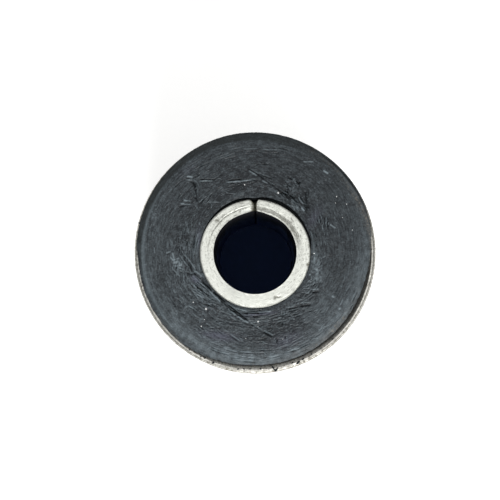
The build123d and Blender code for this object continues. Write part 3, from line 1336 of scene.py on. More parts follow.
    def grime_and_painted_shade(self, points: Array, across: Array) -> Array:
        """Gives where the steel is dark as painted shade: down the bore and deep in the seam.

        Args:
            points: the points of a side.
            across: their share of the wall.

        Returns:
            0 on plain steel and 1 where shade is painted.
        """
        x, y, z = np.moveaxis(points, -1, 0)
        angle = np.arctan2(y, x)
        depth = np.minimum(z, self.sizes.length - z)
        edge = self.end_drop(np.full(angle.shape, self.sizes.bore_radius), angle)
        return smooth_step((depth - edge - self.dark_below) / self.dark_ease) * (across < 0.5)

    def rust(self, points: Array) -> Array:
        """Gives where the steel is olive brown: in and beside the seam, more to its left, and in the dents.

        Args:
            points: the points of a side.

        Returns:
            0 on clean steel and 1 on rusty steel.
        """
        sizes = self.sizes
        x, y, z = np.moveaxis(points, -1, 0)
        depth = np.minimum(z, sizes.length - z)
        radius = np.clip(np.hypot(x, y), sizes.bore_radius, sizes.sleeve_radius)
        past_seam = np.abs(x) - self.half_gap(radius, depth, np.where(x < 0.0, 1.0, 0.0))
        reach = np.where(x < 0.0, self.rust_left, self.rust_right)
        beside_seam = smooth_step(1.15 - past_seam / reach) * (y > 0.0)
        dents = np.clip(-self.dents(x, y) / (0.04 * MM), 0.0, 1.0) * (z > sizes.length / 2)
        return np.clip(beside_seam + dents, 0.0, 1.0)

    def tarnish_and_painted_shade(self, points: Array, across: Array) -> Array:
        """Gives where the end is grey, partly tarnished and partly painted shade, all distances
        being in millimetres across the wall.

        It is darkest on the chamfer right of the seam, painted shade that takes out the lamp's
        highlight there; the chamfer's lower edge stays bright. The turned groove on the left is
        grey too, and so is the rounding of the outer edge, as painted shade, most of it at the
        bottom, where the lamp would light it; one smudge and faint patches are tarnished.

        Args:
            points: the points of a side.
            across: their share of the wall.

        Returns:
            0 on bright steel and 1 on grey steel.
        """
        x, y = points[..., 0], points[..., 1]
        angle = np.arctan2(y, x)
        from_bore = across * self.sizes.sleeve_wall / MM
        past_chamfer = from_bore - self.chamfer_width / MM
        into_rounding = from_bore - (self.sizes.sleeve_wall - self.edge_round) / MM
        bright_edge = smooth_step((from_bore - 0.14) / 0.10)
        right = smooth_step((np.degrees(angle) - 6.0) / 18.0) * (x > 0.0) * (y > 0.0)
        fading = smooth_step((0.12 - past_chamfer) / 0.42)
        # Painted shade on the chamfer right of the seam, which takes out the lamp's highlight there
        painted_chamfer_shade = (0.80 + 0.20 * self.painted_chamfer_shade_at.share(angle)) * right * fading * bright_edge
        on_chamfer = smooth_step(0.5 - past_chamfer / 0.16)
        groove = 0.75 * hump(past_chamfer, -0.06, 0.075) + 0.26 * hump(past_chamfer, 0.18, 0.25)
        turned = (groove + 0.16 * on_chamfer) * self.turned_at.share(angle)
        # Painted shade on the outer rounding, a little all round and most at the bottom, where the lamp would
        # light it
        painted_rounding_shade = smooth_step((into_rounding + 0.04) / 0.16) * (0.10 + 0.62 * self.painted_rounding_shade_at.share(angle))
        smudge = 0.7 * self.smudge_at.share(angle) * hump(from_bore, 0.98, 0.26)
        patches = np.clip(ripples(x, y, 1.1 * MM, 9), 0.0, 1.5) * (0.3 + self.patches_at.share(angle))
        dulled = 0.10 * self.dulled_at.share(angle) + 0.16 * patches
        return np.clip(painted_chamfer_shade + turned + painted_rounding_shade + smudge + dulled, 0.0, 1.0)

    def side(self, across: Array, round_share: Array, up: Array) -> Patch:
        """Makes one of the bar's sides and works out its finish.

        Plain is where the grain is faint, most of all at the bottom. Depth is how far below
        the upper end the bore's painted shade lies: near-black at the top, it turns deeper down
        to a lighter navy, which is painted light, and a painted glint is added on its upper right.

        Args:
            across: share of the wall, 0 at the bore.
            round_share: share of the way round from one side of the seam to the other.
            up: share of the height.

        Returns:
            The side.
        """
        points = self.bar(across, round_share, up)
        across = np.broadcast_to(across, points.shape[:2])
        x, y, z = np.moveaxis(points, -1, 0)
        angle = np.arctan2(y, x)
        below = 1.0 - z / self.sizes.length
        # Painted glint: a paler patch down the bore on its upper right
        painted_glint = 0.6 * self.painted_glint_at.share(angle) * hump(below, 0.62, 0.22)
        depth = smooth_step((below - 0.26) / 0.40) * (0.35 + 0.65 * below) + painted_glint
        return Patch(points, attributes={
            "grime_and_painted_shade": self.grime_and_painted_shade(points, across),
            "rust": self.rust(points),
            "tarnish_and_painted_shade": self.tarnish_and_painted_shade(points, across),
            "plain": 0.10 + 0.80 * self.plain_at.share(angle),
            "depth": np.clip(depth, 0.0, 1.0),
        })

    def build(self) -> bpy.types.Object:
        """Builds the sleeve from its six sides and dresses it.

        Returns:
            The sleeve.
        """
        across = 0.5 - 0.5 * np.cos(np.linspace(0.0, pi, self.steps_across))
        even = np.linspace(0.0, 1.0, self.columns)
        round_share = self.crowding * (0.5 - 0.5 * np.cos(pi * even)) + (1.0 - self.crowding) * even
        middle = np.linspace(0.0, 1.0, self.steps_up)
        near_end = np.array([0.002, 0.004, 0.007, 0.010, 0.014, 0.02, 0.03])
        up = np.unique(np.concatenate([middle, near_end, 1.0 - near_end]))
        first, last = np.zeros(1), np.ones(1)
        sides = [
            self.side(across[:, None], round_share[None, :], last[None, :]),
            self.side(across[:, None], round_share[None, :], first[None, :]),
            self.side(last[None, :], round_share[None, :], up[:, None]),
            self.side(first[None, :], round_share[None, :], up[:, None]),
            self.side(across[:, None], first[None, :], up[None, :]),
            self.side(across[:, None], last[None, :], up[None, :]),
        ]
        piece = welded_object("rolled_sleeve", sides)
        piece.data.materials.append(Steel.SLEEVE.value.material())
        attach(piece, BODY)
        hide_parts("inner_sleeve")
        return piece


@dataclass(frozen=True)
class ScaleFinish:
    """Rusty dirt, olive brown and crumbly."""

    base: Colour = (0.036, 0.034, 0.022, 1.0)
    dark: Colour = (0.014, 0.014, 0.010, 1.0)
    roughness: float = 0.9

    def material(self) -> bpy.types.Material:
        """Builds the dirt's material, mottled light and dark.

        Returns:
            The material.
        """
        nodes = Surface("bush_seam_scale")
        mottle = nodes.noise(nodes.place(), 3600.0, 2.0, 0.6)
        nodes.look("Base Color", nodes.mix(nodes.band(mottle, 0.35, 0.65), self.base, self.dark))
        nodes.shader.inputs["Roughness"].default_value = self.roughness
        nodes.shader.inputs["Specular IOR Level"].default_value = 0.1
        nodes.look("Normal", nodes.bump(mottle, 0.08 * MM, 0.8))
        return nodes.material


@dataclass
class SeamScale:
    """Rusty dirt that has settled in the mouth of the sleeve's seam."""

    sizes: BushSizes
    below_end: float = 0.30 * MM
    thickness: float = 1.2 * MM
    inner_end: float = 0.10 * MM
    outer_end: float = 1.45 * MM
    clear: float = 0.02 * MM
    crumbly: float = 0.05 * MM
    outer_fall: float = 0.25 * MM
    rows: int = 40
    columns: int = 14

    def build(self) -> bpy.types.Object:
        """Builds the dirt as one closed strip: an uneven top, plain sides and a flat underside.

        The top is a set depth below the end, crumbly, and falls away over the seam's outer
        half. The strip's width is the seam's own at each radius, less a little room.

        Returns:
            The dirt.
        """
        sizes, section = self.sizes, SleeveSection(self.sizes)
        from_bore = np.linspace(self.inner_end, self.outer_end, self.rows)[:, None]
        radius, share = sizes.bore_radius + from_bore, from_bore / sizes.sleeve_wall
        half_gap = InnerSleeve(sizes).half_gap(radius, np.full(radius.shape, self.below_end))
        across = np.linspace(-1.0, 1.0, self.columns)[None, :]
        x = across * (half_gap - self.clear)
        y = section.between(np.array(radians(section.seam_direction)), share) + 0.0 * across
        top = sizes.length - self.below_end + self.crumbly * ripples(x, y, 0.35 * MM, 21)
        top = top - self.outer_fall * smooth_step((share - 0.5) / 0.25)
        foot = np.full(x.shape, sizes.length - self.below_end - self.thickness)
        upper, lower = np.stack([x, y, top], axis=-1), np.stack([x, y, foot], axis=-1)
        ends = [np.stack([upper[row], lower[row]]) for row in (0, -1)]
        walls = ends + [np.stack([upper[:, column], lower[:, column]]) for column in (0, -1)]
        piece = welded_object("seam_scale", [Patch(points) for points in (upper, lower, *walls)])
        piece.data.materials.append(ScaleFinish().material())
        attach(piece, BODY)
        return piece


@dataclass
class OuterSleeve:
    """The plain steel tube: a closed section carried round the bush's axis."""

    sizes: BushSizes
    wall: float = 1.5 * MM
    inner_chamfer: float = 0.9 * MM
    lead_in: float = 0.25 * MM
    groove: float = 0.07 * MM
    painted_lip_shadow_at: Arc = Arc(42.0, 26.0)
    tear_at: Arc = Arc(286.0, 24.0)
    plain_at: Arc = Arc(350.0, 45.0)
    painted_join_shade_at: Arc = Arc(305.0, 62.0)
    ragged_at: Arc = Arc(272.0, 40.0)
    olive_at: Arc = Arc(295.0, 17.0)
    faint_olive_at: Arc = Arc(340.0, 30.0)
    matt_at: Arc = Arc(278.0, 42.0)
    columns: int = 720

    def section(self) -> Array:
        """Gives the section as radius and height, from the middle of the bore up and over.

        A shallow turned groove parts the flat end from the lead-in outside.

        Returns:
            One row of radius and height for each point; the last point is the first again.
        """
        sizes = self.sizes
        inner = sizes.tube_radius - self.wall
        flat_end = sizes.tube_radius - self.lead_in
        lead = np.linspace(0.0, self.inner_chamfer, 13)
        flat = np.linspace(inner + self.inner_chamfer, flat_end - 2 * self.groove, 5)[1:]
        groove = flat_end + self.groove * np.array([-1.5, -1.0, -0.5, 0.0])
        groove_fall = self.groove * np.array([0.5, 0.7, 0.5, 0.05])
        slope = self.lead_in * np.linspace(0.25, 1.0, 4)
        slope_fall = slope**1.6 / self.lead_in**0.6
        middle = (sizes.tube_high + sizes.tube_low) / 2
        side = np.linspace(sizes.tube_high - self.lead_in, middle, 14)[1:]
        outside = np.full(side.size, sizes.tube_radius)
        radius = np.concatenate([inner + lead, flat, groove, flat_end + slope, outside])
        fall = np.concatenate([self.inner_chamfer - lead, np.zeros(flat.size), groove_fall, slope_fall])
        height = np.concatenate([sizes.tube_high - fall, side])
        upper = np.stack([radius, height], axis=-1)
        lower = np.stack([radius, 2 * middle - height], axis=-1)[::-1]
        return np.concatenate([upper, lower[1:], upper[:1]])

    def looks(self, points: Array, angle: Array) -> dict[str, Array]:
        """Works out the tube's finish, with the distance past the rubber in millimetres.

        The upper end is dark along the rubber, which has drawn back and left it bare: in a line
        of painted shade where the two meet, and in a ragged band where it tore, with olive brown
        beside that on the lower right. The lip's shadow is painted on it at the upper right. The
        groove is darker, the lead-in a little grey and greyer by the tear, as painted shade that
        takes out the lamp's highlight, and the inner chamfer matt.

        Args:
            points: the tube's points, a row for each point of the section.
            angle: direction of each column.

        Returns:
            The values by name.
        """
        x, y, z = np.moveaxis(points, -1, 0)
        sizes, radius = self.sizes, np.hypot(x, y)
        at_end = smooth_step(1.0 - (sizes.tube_high - z) / MM)
        in_groove = hump(radius, sizes.tube_radius - self.lead_in - self.groove, self.groove)
        past_chamfer = radius - (sizes.tube_radius - self.wall + self.inner_chamfer)
        on_chamfer = 1.0 - smooth_step(past_chamfer / (0.10 * MM) + 0.5)
        on_lead_in = smooth_step((radius - sizes.tube_radius + self.lead_in) / (0.08 * MM))
        by_tear = self.tear_at.share(angle)
        plain = 0.25 + 0.75 * self.plain_at.share(angle) + 0.5 * by_tear
        patchy = np.clip(0.2 + 0.5 * ripples(x, y, 0.9 * MM, 12), 0.0, 1.0)

        past_rubber = (radius - RubberBody(sizes).lip_edge(angle, True)) / MM
        # Painted shade: a dark line where the tube's end meets the rubber's edge
        line = 0.8 * hump(past_rubber, 0.0, 0.08) * (0.30 + 0.70 * self.painted_join_shade_at.share(angle))
        ragged = smooth_step((0.22 + 0.17 * ripples(x, y, 0.28 * MM, 14) - past_rubber) / 0.10)
        dark = np.maximum(line, 0.85 * ragged * self.ragged_at.share(angle))
        olive = hump(past_rubber, 0.0, 0.24) * (0.12 + 0.34 * self.olive_at.share(angle))
        olive = olive + 0.10 * hump(past_rubber, 0.0, 0.42) * self.faint_olive_at.share(angle)
        # By the tear the lead-in is greyer: painted shade that takes out the lamp's highlight
        grey = 0.30 * patchy + (0.22 + 0.5 * by_tear) * on_lead_in
        # The last term paints the lip's shadow on the upper right
        grime_and_painted_shade = dark + 0.40 * in_groove * plain + self.painted_lip_shadow_at.share(angle)
        return {
            "grime_and_painted_shade": np.clip(grime_and_painted_shade * at_end, 0.0, 1.0),
            "rust": np.clip((0.9 * olive + 0.10 * patchy + 0.25 * in_groove * plain) * at_end, 0.0, 1.0),
            "tarnish_and_painted_shade": np.clip(grey * at_end + 0.46 * (1.0 - at_end), 0.0, 1.0),
            "matt": on_chamfer * at_end * (0.3 + 0.7 * self.matt_at.share(angle)),
            "plain": 1.0 - at_end,
        }

    def build(self) -> bpy.types.Object:
        """Builds the tube and dresses it.

        The upper end is a little uneven: ripples of 0.02 mm along the edge, in height only.

        Returns:
            The tube.
        """
        section = self.section()
        angle = np.linspace(0.0, 2 * pi, self.columns, endpoint=False)
        points = polar_points(section[:, :1], angle[None, :], section[:, 1:])
        attributes = self.looks(points, angle)
        x, y, z = np.moveaxis(points, -1, 0)
        worn = 0.02 * MM * ripples(x, y, 0.9 * MM, 11)
        z += np.minimum(worn, 0.0) * smooth_step(1.0 - (self.sizes.tube_high - z) / self.lead_in)
        piece = welded_object("outer_tube", [Patch(points, around=True, attributes=attributes)])
        piece.data.materials.append(Steel.TUBE.value.material())
        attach(piece, BODY)
        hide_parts("outer_sleeve")
        return piece


@dataclass
class RubberBody:
    """The rubber ring: a closed section that changes as it is carried round the axis.

    Each row of the grid is one point of the section and each column one direction. The
    upper end is a height field over the face, dense enough for its gouges. The gap steps
    are shares of the gap's width and depth, and the foot steps shares of the lip's height.
    """

    sizes: BushSizes
    tube_wall: float = 1.5 * MM
    tube_chamfer: float = 0.9 * MM
    bevel_width: float = 1.15 * MM
    bevel_height: float = 0.55 * MM
    bevel_round: float = 0.45 * MM
    bevel_extra_round: float = 2.2 * MM
    bevel_soft_at: Arc = Arc(280.0, 75.0)
    draw_back_reach: float = 1.26 * MM
    draw_back_first: float = 0.60 * MM
    draw_back_depth: float = 0.40 * MM
    draw_back_angle: float = 290.0
    draw_back_first_left: float = 130.0
    draw_back_first_ease: float = 30.0
    draw_back_left: float = 74.0
    draw_back_left_ease: float = 57.0
    draw_back_right: float = 108.0
    draw_back_right_ease: float = 65.0
    torn: float = 0.06 * MM
    polish_x: float = -0.27 * MM
    polish_y: float = 0.12 * MM
    polish_radius: float = 16.08 * MM
    parting_most: float = 0.26 * MM
    parting_depth: float = 0.45 * MM
    parting_at: Arc = Arc(50.0, 40.0)
    parting_right: float = 0.16 * MM
    parting_right_at: Arc = Arc(14.0, 8.0)
    parting_left: float = 0.10 * MM
    parting_left_at: Arc = Arc(122.0, 26.0)
    pinched: float = 0.22 * MM
    pinched_at: Arc = Arc(92.0, 8.0)
    uneven_gap: float = 0.025 * MM
    uneven_gap_at: Arc = Arc(75.0, 55.0)
    gap_steps: tuple[tuple[float, float], ...] = (
        (0.0, 1.0), (0.6, 0.98), (0.85, 0.75), (0.94, 0.4), (0.98, 0.18))
    foot_steps: tuple[float, ...] = (0.12, 0.35, 0.65, 1.0)
    torn_at: Arc = Arc(275.0, 38.0)
    painted_corner_highlight_at: Arc = Arc(182.0, 34.0)
    skin: float = 0.01 * MM
    columns: int = 720
    face_rows: int = 108
    far_face_rows: int = 12

    def lip_edge(self, angle: Array, worn: bool) -> Array:
        """Gives the radius of the lip's outer edge in each direction.

        The lip is a circle set off towards +Y. Where the rubber has drawn back, its edge is
        the tube's radius less a reach that eases in from both sides, on the left in two
        steps, and the torn edge wanders.

        Args:
            angle: direction from the axis, in radians.
            worn: whether the lip has drawn back and torn.

        Returns:
            The radius in each direction.
        """
        sizes = self.sizes
        aside = sizes.lip_shift * np.cos(angle)
        moulded = sizes.lip_shift * np.sin(angle) + np.sqrt(sizes.lip_radius**2 - aside**2)
        if not worn:
            return moulded
        away = turn_from(angle, self.draw_back_angle)
        first = smooth_step((self.draw_back_first_left + away) / self.draw_back_first_ease)
        left = smooth_step((self.draw_back_left + away) / self.draw_back_left_ease)
        right = smooth_step((self.draw_back_right - away) / self.draw_back_right_ease)
        reach = self.draw_back_first * first + (self.draw_back_reach - self.draw_back_first) * left
        drawn = sizes.tube_radius - reach * right
        x, y = sizes.tube_radius * np.cos(angle), sizes.tube_radius * np.sin(angle)
        wander = 0.5 * ripples(x, y, 1.8 * MM, 3) + 0.6 * ripples(x, y, 0.5 * MM, 4)
        in_tear = smooth_step((moulded - drawn) / (0.15 * MM) + 0.5)
        return np.minimum(moulded, drawn) + np.clip(wander, -1.8, 1.2) * self.torn * (0.2 + 0.8 * in_tear)

    def parting(self, angle: Array) -> Array:
        """Gives how far the rubber's round bore has opened at its mouth.

        It is widest on the upper right, narrower on the left, and pinched in at the seam. Its
        edge is uneven, by ripples read on a circle of 8 mm.

        Args:
            angle: direction of each point.

        Returns:
            How far the rubber's edge lies outside the sleeve's full radius.
        """
        wide = self.parting_most * self.parting_at.share(angle)
        right = self.parting_right * self.parting_right_at.share(angle)
        left = self.parting_left * self.parting_left_at.share(angle)
        pinched = self.pinched * self.pinched_at.share(angle)
        uneven = ripples(8.0 * np.cos(angle), 8.0 * np.sin(angle), 0.9, 8) * self.uneven_gap_at.share(angle)
        return wide + right + left - pinched + self.uneven_gap * uneven

    def face_fall(self, x: Array, y: Array) -> Array:
        """Gives how far the moulded end lies below its flat face.

        The bevel is a straight slope from its inner circle to the lip. It meets the face in
        a round corner: fall = slope (d + sqrt(d^2 + c^2)) / 2, d being the distance past the
        inner circle and c the size of the corner, which is larger where the edge is worn.

        Args:
            x: first coordinate of each point.
            y: second coordinate of each point.

        Returns:
            The fall at each point.
        """
        past = np.hypot(x, y - self.sizes.lip_shift) - (self.sizes.lip_radius - self.bevel_width)
        soft = self.bevel_soft_at.share(np.arctan2(y, x))
        corner = (self.bevel_round + self.bevel_extra_round * soft) / 2
        slope = self.bevel_height / self.bevel_width
        return slope * (past + np.sqrt(past**2 + corner**2)) / 2

    def foot_rows(self, lip: Array, edge_fall: Array, worn: bool) -> list[tuple[Array, Array]]:
        """Works out the rows from the lip's edge down to the foot of the tube's chamfer.

        Where the rubber has drawn back, the foot lies below the tube's end, on its chamfer.

        Args:
            lip: the lip's radius in each direction.
            edge_fall: how far its edge lies below the flat face.
            worn: whether this is the worn, upper end.

        Returns:
            Each row's radii and falls.
        """
        tube_fall = np.full(lip.size, self.sizes.face_high - self.sizes.tube_high)
        tube_bore = self.sizes.tube_radius - self.tube_wall
        seat = tube_bore + self.tube_chamfer
        radius, fall = np.minimum(lip, self.sizes.tube_radius - 0.1 * MM), tube_fall
        if worn:
            bare = np.clip(seat - lip, 0.0, self.draw_back_depth)
            radius, fall = np.where(bare > 0.0, np.minimum(lip, seat - bare), radius), tube_fall + bare
        start = edge_fall + 0.02 * MM
        rows = [(lip + (radius - lip) * share, start + (fall - start) * share) for share in self.foot_steps]
        rows.append((np.minimum(radius, seat - self.skin), fall + self.skin))
        rows.append((np.full(lip.size, tube_bore - self.skin), tube_fall + self.tube_chamfer))
        return rows

    def end_rows(self, angle: Array, rows: int, worn: bool) -> tuple[Array, Array]:
        """Works out one end, from the foot of the gap at the sleeve to the foot of the lip.

        Args:
            angle: direction of each column.
            rows: how many rows the face has.
            worn: whether this is the worn, upper end.

        Returns:
            The rows' radii, and their falls below the flat face.
        """
        wall = SleeveSection(self.sizes).outside(angle) + self.skin
        lip = self.lip_edge(angle, worn)
        start, gap = wall, []
        if worn:
            start = self.sizes.sleeve_radius + self.skin + self.parting(angle)
            gap = [(wall + (start - wall) * out, np.full(angle.size, self.parting_depth * down))
                   for out, down in self.gap_steps]
        radius = start + (lip - start) * np.linspace(0.0, 1.0, rows)[:, None]
        x, y = radius * np.cos(angle), radius * np.sin(angle)
        fall = self.face_fall(x, y)
        if worn:
            from_gap, from_lip = (radius - start) / (0.10 * MM), (lip - radius) / (0.10 * MM)
            fall = fall + 0.05 * MM * np.exp(-from_gap) + 0.04 * MM * np.exp(-from_lip)
            fall = fall - self.unevenness(x, y) * smooth_step(from_gap / 2) * smooth_step(from_lip / 2)
        radii, falls = zip(*gap, *zip(radius, fall), *self.foot_rows(lip, fall[-1], worn))
        return np.stack(radii), np.stack(falls)

    def unevenness(self, x: Array, y: Array) -> Array:
        """Gives the upper face's relief: slow ripples, coarse turning rings and the cuts.

        Args:
            x: first coordinate of each point.
            y: second coordinate of each point.

        Returns:
            The height above the moulded face.
        """
        slow = 0.020 * MM * ripples(x, y, 5.0 * MM, 1) + 0.016 * MM * ripples(x, y, 1.5 * MM, 2)
        slow = slow + 0.009 * MM * ripples(x, y, 0.75 * MM, 6)
        radius = np.hypot(x, y - self.sizes.lip_shift)
        patches = smooth_step(0.5 + 0.8 * ripples(x, y, 6.0 * MM, 5))
        turned = 0.006 * MM * np.sin(2 * pi * radius / (0.62 * MM)) * patches
        return slow + turned + FaceMarks.relief(x / MM, y / MM) * MM

    def looks(self, points: Array) -> dict[str, Array]:
        """Works out the rubber's finish, with x, y, radius and the distance from the polished circle in
        millimetres.

        The face has its marks. The bevel is polished where it is as moulded, at the upper left,
        away from the light, so that it also paints shade there, and has a painted highlight in its
        corner at 9 o'clock. The gap beside the sleeve, the foot of the lip, the edge of the tear and
        the rim's edge on the upper right are painted shade, and dust lies at the foot of the tear.

        Args:
            points: the rubber's points.

        Returns:
            The values by name.
        """
        x, y, z = points[..., 0] / MM, points[..., 1] / MM, points[..., 2]
        fall = self.sizes.face_high - z
        radius, direction = np.hypot(x, y), np.arctan2(y, x)
        upper, near_face = z > self.sizes.length / 2, fall < 3 * MM
        on_face = smooth_step(1.0 - (fall - self.bevel_height) / (0.3 * MM))
        # Painted shade down the lip's foot, below the bevel
        deep = smooth_step((fall - self.bevel_height - 0.25 * MM) / (0.5 * MM)) * near_face
        # Painted shade in the gap beside the sleeve
        beside_sleeve = radius < (self.sizes.sleeve_radius + self.parting_most) / MM + 0.1
        painted_gap_shade = smooth_step(fall / (0.2 * MM)) * beside_sleeve
        from_polish = np.hypot(x - self.polish_x / MM, y - self.polish_y / MM) - self.polish_radius / MM
        turned_by = np.degrees(direction) % 360.0
        # The moulded bevel lies only on the upper left, away from the light, so its darker finish also paints
        # shade there
        moulded = smooth_step((turned_by - 40.0) / 45.0) * smooth_step((196.0 - turned_by) / 34.0)
        mottled = np.clip(0.90 + 0.12 * ripples(x, y, 1.2, 34), 0.6, 1.0)
        # Painted highlight: a paler line along the bevel's corner at 9 o'clock
        corner = 0.44 * self.painted_corner_highlight_at.share(direction) * hump(from_polish, -0.14, 0.26)
        # Painted shade: a dark band along the rim's edge on the upper right
        rim = Band(40.0, 24.0, 17.15, 0.26, 0.9).share(x, y)
        torn = self.torn_at.share(direction) * upper
        foot = smooth_step((fall - 0.80 * MM) / (0.30 * MM)) * near_face * torn
        # Painted shade along the torn edge
        tear = hump(fall, 0.78 * MM, 0.24 * MM) * torn
        hollows = 0.9 * deep * (1.0 - 0.9 * torn) + tear + 0.9 * painted_gap_shade
        return {
            "scuff": FaceMarks.scuff(x, y) * on_face,
            "grime_and_painted_shade": np.clip((FaceMarks.grime_and_painted_shade(x, y) + rim) * on_face + hollows, 0.0, 1.0),
            "haze": FaceMarks.haze(x, y) * on_face,
            "tone_and_painted_light": (FaceMarks.tone_and_painted_light(x, y) + corner) * on_face,
            "dust": FaceMarks.dust(x, y) * on_face + 0.6 * foot,
            "worn": FaceMarks.worn(x, y) * on_face,
            "polish_and_painted_shade": smooth_step(from_polish / 0.16) * moulded * mottled * upper,
        }

    def build(self) -> bpy.types.Object:
        """Builds the rubber as one closed grid, both ways round, and dresses it.

        Returns:
            The rubber.
        """
        sizes = self.sizes
        angle = np.linspace(0.0, 2 * pi, self.columns, endpoint=False)
        upper_radii, upper_falls = self.end_rows(angle, self.face_rows, True)
        lower_radii, lower_falls = self.end_rows(angle, self.far_face_rows, False)
        radius = np.concatenate([upper_radii, lower_radii[::-1], upper_radii[:1]])
        upper, lower = sizes.face_high - upper_falls, sizes.face_low + lower_falls[::-1]
        points = polar_points(radius, angle[None, :], np.concatenate([upper, lower, upper[:1]]))
        attributes = self.looks(points)
        piece = welded_object("rubber_ring", [Patch(points, around=True, attributes=attributes)])
        piece.data.materials.append(RubberFinish().material(sizes))
        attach(piece, BODY)
        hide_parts("rubber_body")
        return piece


@dataclass(frozen=True)
class Crumb:
    """A shred of rubber on the tube's bare end or the lip, in degrees and millimetres.

    At a turn of 0 it lies along the lip, and at 90 it points away from the axis. The lift
    is how far it is raised above the tube's end.
    """

    angle: float
    radius: float
    length: float
    width: float
    turn: float
    lift: float = 0.0


@dataclass
class Crumbs:
    """The torn rubber's shreds, which lie over the bare end of the tube."""

    sizes: BushSizes
    shreds: tuple[Crumb, ...] = tuple(starmap(Crumb, (
        (279.1, 16.92, 1, 0.22, 116),
        (280.6, 17.12, 0.62, 0.18, 60),
        (280, 17.26, 0.42, 0.3, 20),
        (291.4, 17.06, 0.74, 0.3, 24),
        (294.2, 16.86, 0.46, 0.22, 10),
        (288.6, 16.8, 0.36, 0.18, 40),
        (261.7, 17, 0.4, 0.22, 30),
        (264.5, 16.86, 0.34, 0.2, -20),
        (267.6, 16.82, 0.4, 0.16, 10),
        (249.2, 16.98, 0.4, 0.28, 60),
        (244.4, 16.9, 0.32, 0.2, 30),
        (242.4, 16.92, 0.26, 0.2, 80),
        (236, 16.96, 0.3, 0.14, 20),
        (272.8, 16.8, 0.34, 0.18, 100),
        (299, 16.8, 0.34, 0.18, 30),
        (304.6, 16.74, 0.4, 0.14, -10),
        (312, 16.78, 0.3, 0.14, 20),
        (165.6, 17.28, 0.34, 0.26, 70, 0.45),
    )))
    unevenness: float = 0.22
    thickness: float = 0.8
    rows: int = 14
    columns: int = 20

    def shred(self, crumb: Crumb, seed: int) -> Patch:
        """Makes one shred: a long ball whose radius wanders by about a fifth.

        The ball's poles are single points, so that it closes: radius = half size *
        (1 + unevenness * ripple * sin d), d being the angle from the pole.

        Args:
            crumb: where it lies and how large it is.
            seed: starts the random draws.

        Returns:
            The shred's surface.
        """
        down, turn = ball_angles(self.rows, self.columns)
        uneven = ripples(3.0 * np.cos(down), 2.0 * np.sin(down) * np.cos(turn), 2.6, seed)
        size = (1.0 + self.unevenness * uneven * np.sin(down)) * MM / 2
        along = crumb.length * size * np.cos(down)
        aside = crumb.width * size * np.sin(down) * np.cos(turn)
        lift = self.thickness * crumb.width * size * np.sin(down) * np.sin(turn)
        direction, way = radians(crumb.angle), radians(crumb.angle + crumb.turn - 90.0)
        x = crumb.radius * MM * cos(direction) + along * cos(way) - aside * sin(way)
        y = crumb.radius * MM * sin(direction) + along * sin(way) + aside * cos(way)
        z = self.sizes.tube_high + (0.3 * crumb.width + crumb.lift) * MM + lift
        attributes = {name: np.zeros(x.shape) for name in ("scuff", "haze", "tone_and_painted_light", "dust", "worn", "polish_and_painted_shade")}
        attributes["grime_and_painted_shade"] = np.full(x.shape, 0.55)
        return Patch(np.stack([x, y, z], axis=-1), around=True, attributes=attributes)

    def build(self, rubber: bpy.types.Material) -> bpy.types.Object:
        """Builds the shreds as one piece, in the rubber's material.

        Args:
            rubber: the material of the rubber that they came off.

        Returns:
            The shreds.
        """
        patches = [self.shred(crumb, 40 + number) for number, crumb in enumerate(self.shreds)]
        piece = welded_object("rubber_shreds", patches)
        piece.data.materials.append(rubber)
        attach(piece, BODY)
        return piece


@dataclass
class Grit:
    """Pale grains of dust on the upper face, each a small flattened ball, in millimetres."""

    sizes: BushSizes
    places: tuple[tuple[float, float, float], ...] = (
        (-7.06, -8.13, 0.17),
        (0.44, -9.93, 0.13),
        (-1.5, 9.82, 0.1),
        (3.34, 8.64, 0.15),
        (-8.91, -7.14, 0.08),
        (-7.28, -9.66, 0.08),
        (-7.75, -10.61, 0.09),
        (8.51, -0.12, 0.09),
        (11.76, 8.1, 0.08),
        (0.43, -10.64, 0.06),
        (12.62, 5.06, 0.06),
        (14.06, 3.26, 0.06),
        (13.21, 7.01, 0.08),
        (11.62, 7.16, 0.07),
        (-1.33, -12.39, 0.06),
        (4.03, -12.45, 0.06),
    )
    rows: int = 7
    columns: int = 10
    flatness: float = 0.5

    def grain(self, x: float, y: float, radius: float) -> Patch:
        """Makes one grain: a flattened ball, sunk by half into the face.

        Args:
            x: its place along X, in millimetres.
            y: its place along Y, in millimetres.
            radius: its radius, in millimetres.

        Returns:
            The grain's surface.
        """
        down, turn = ball_angles(self.rows, self.columns)
        across = x + radius * np.sin(down) * np.cos(turn)
        aside = y + radius * np.sin(down) * np.sin(turn)
        face = self.sizes.face_high - RubberBody(self.sizes).face_fall(np.array(x * MM), np.array(y * MM))
        height = self.flatness * radius * np.cos(down) * MM + face
        return Patch(np.stack([across * MM, aside * MM, height], axis=-1), around=True)

    def build(self) -> bpy.types.Object:
        """Builds the grains as one piece.

        Returns:
            The grains.
        """
        piece = welded_object("face_grit", [self.grain(*place) for place in self.places])
        piece.data.materials.append(GritFinish().material())
        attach(piece, BODY)
        return piece


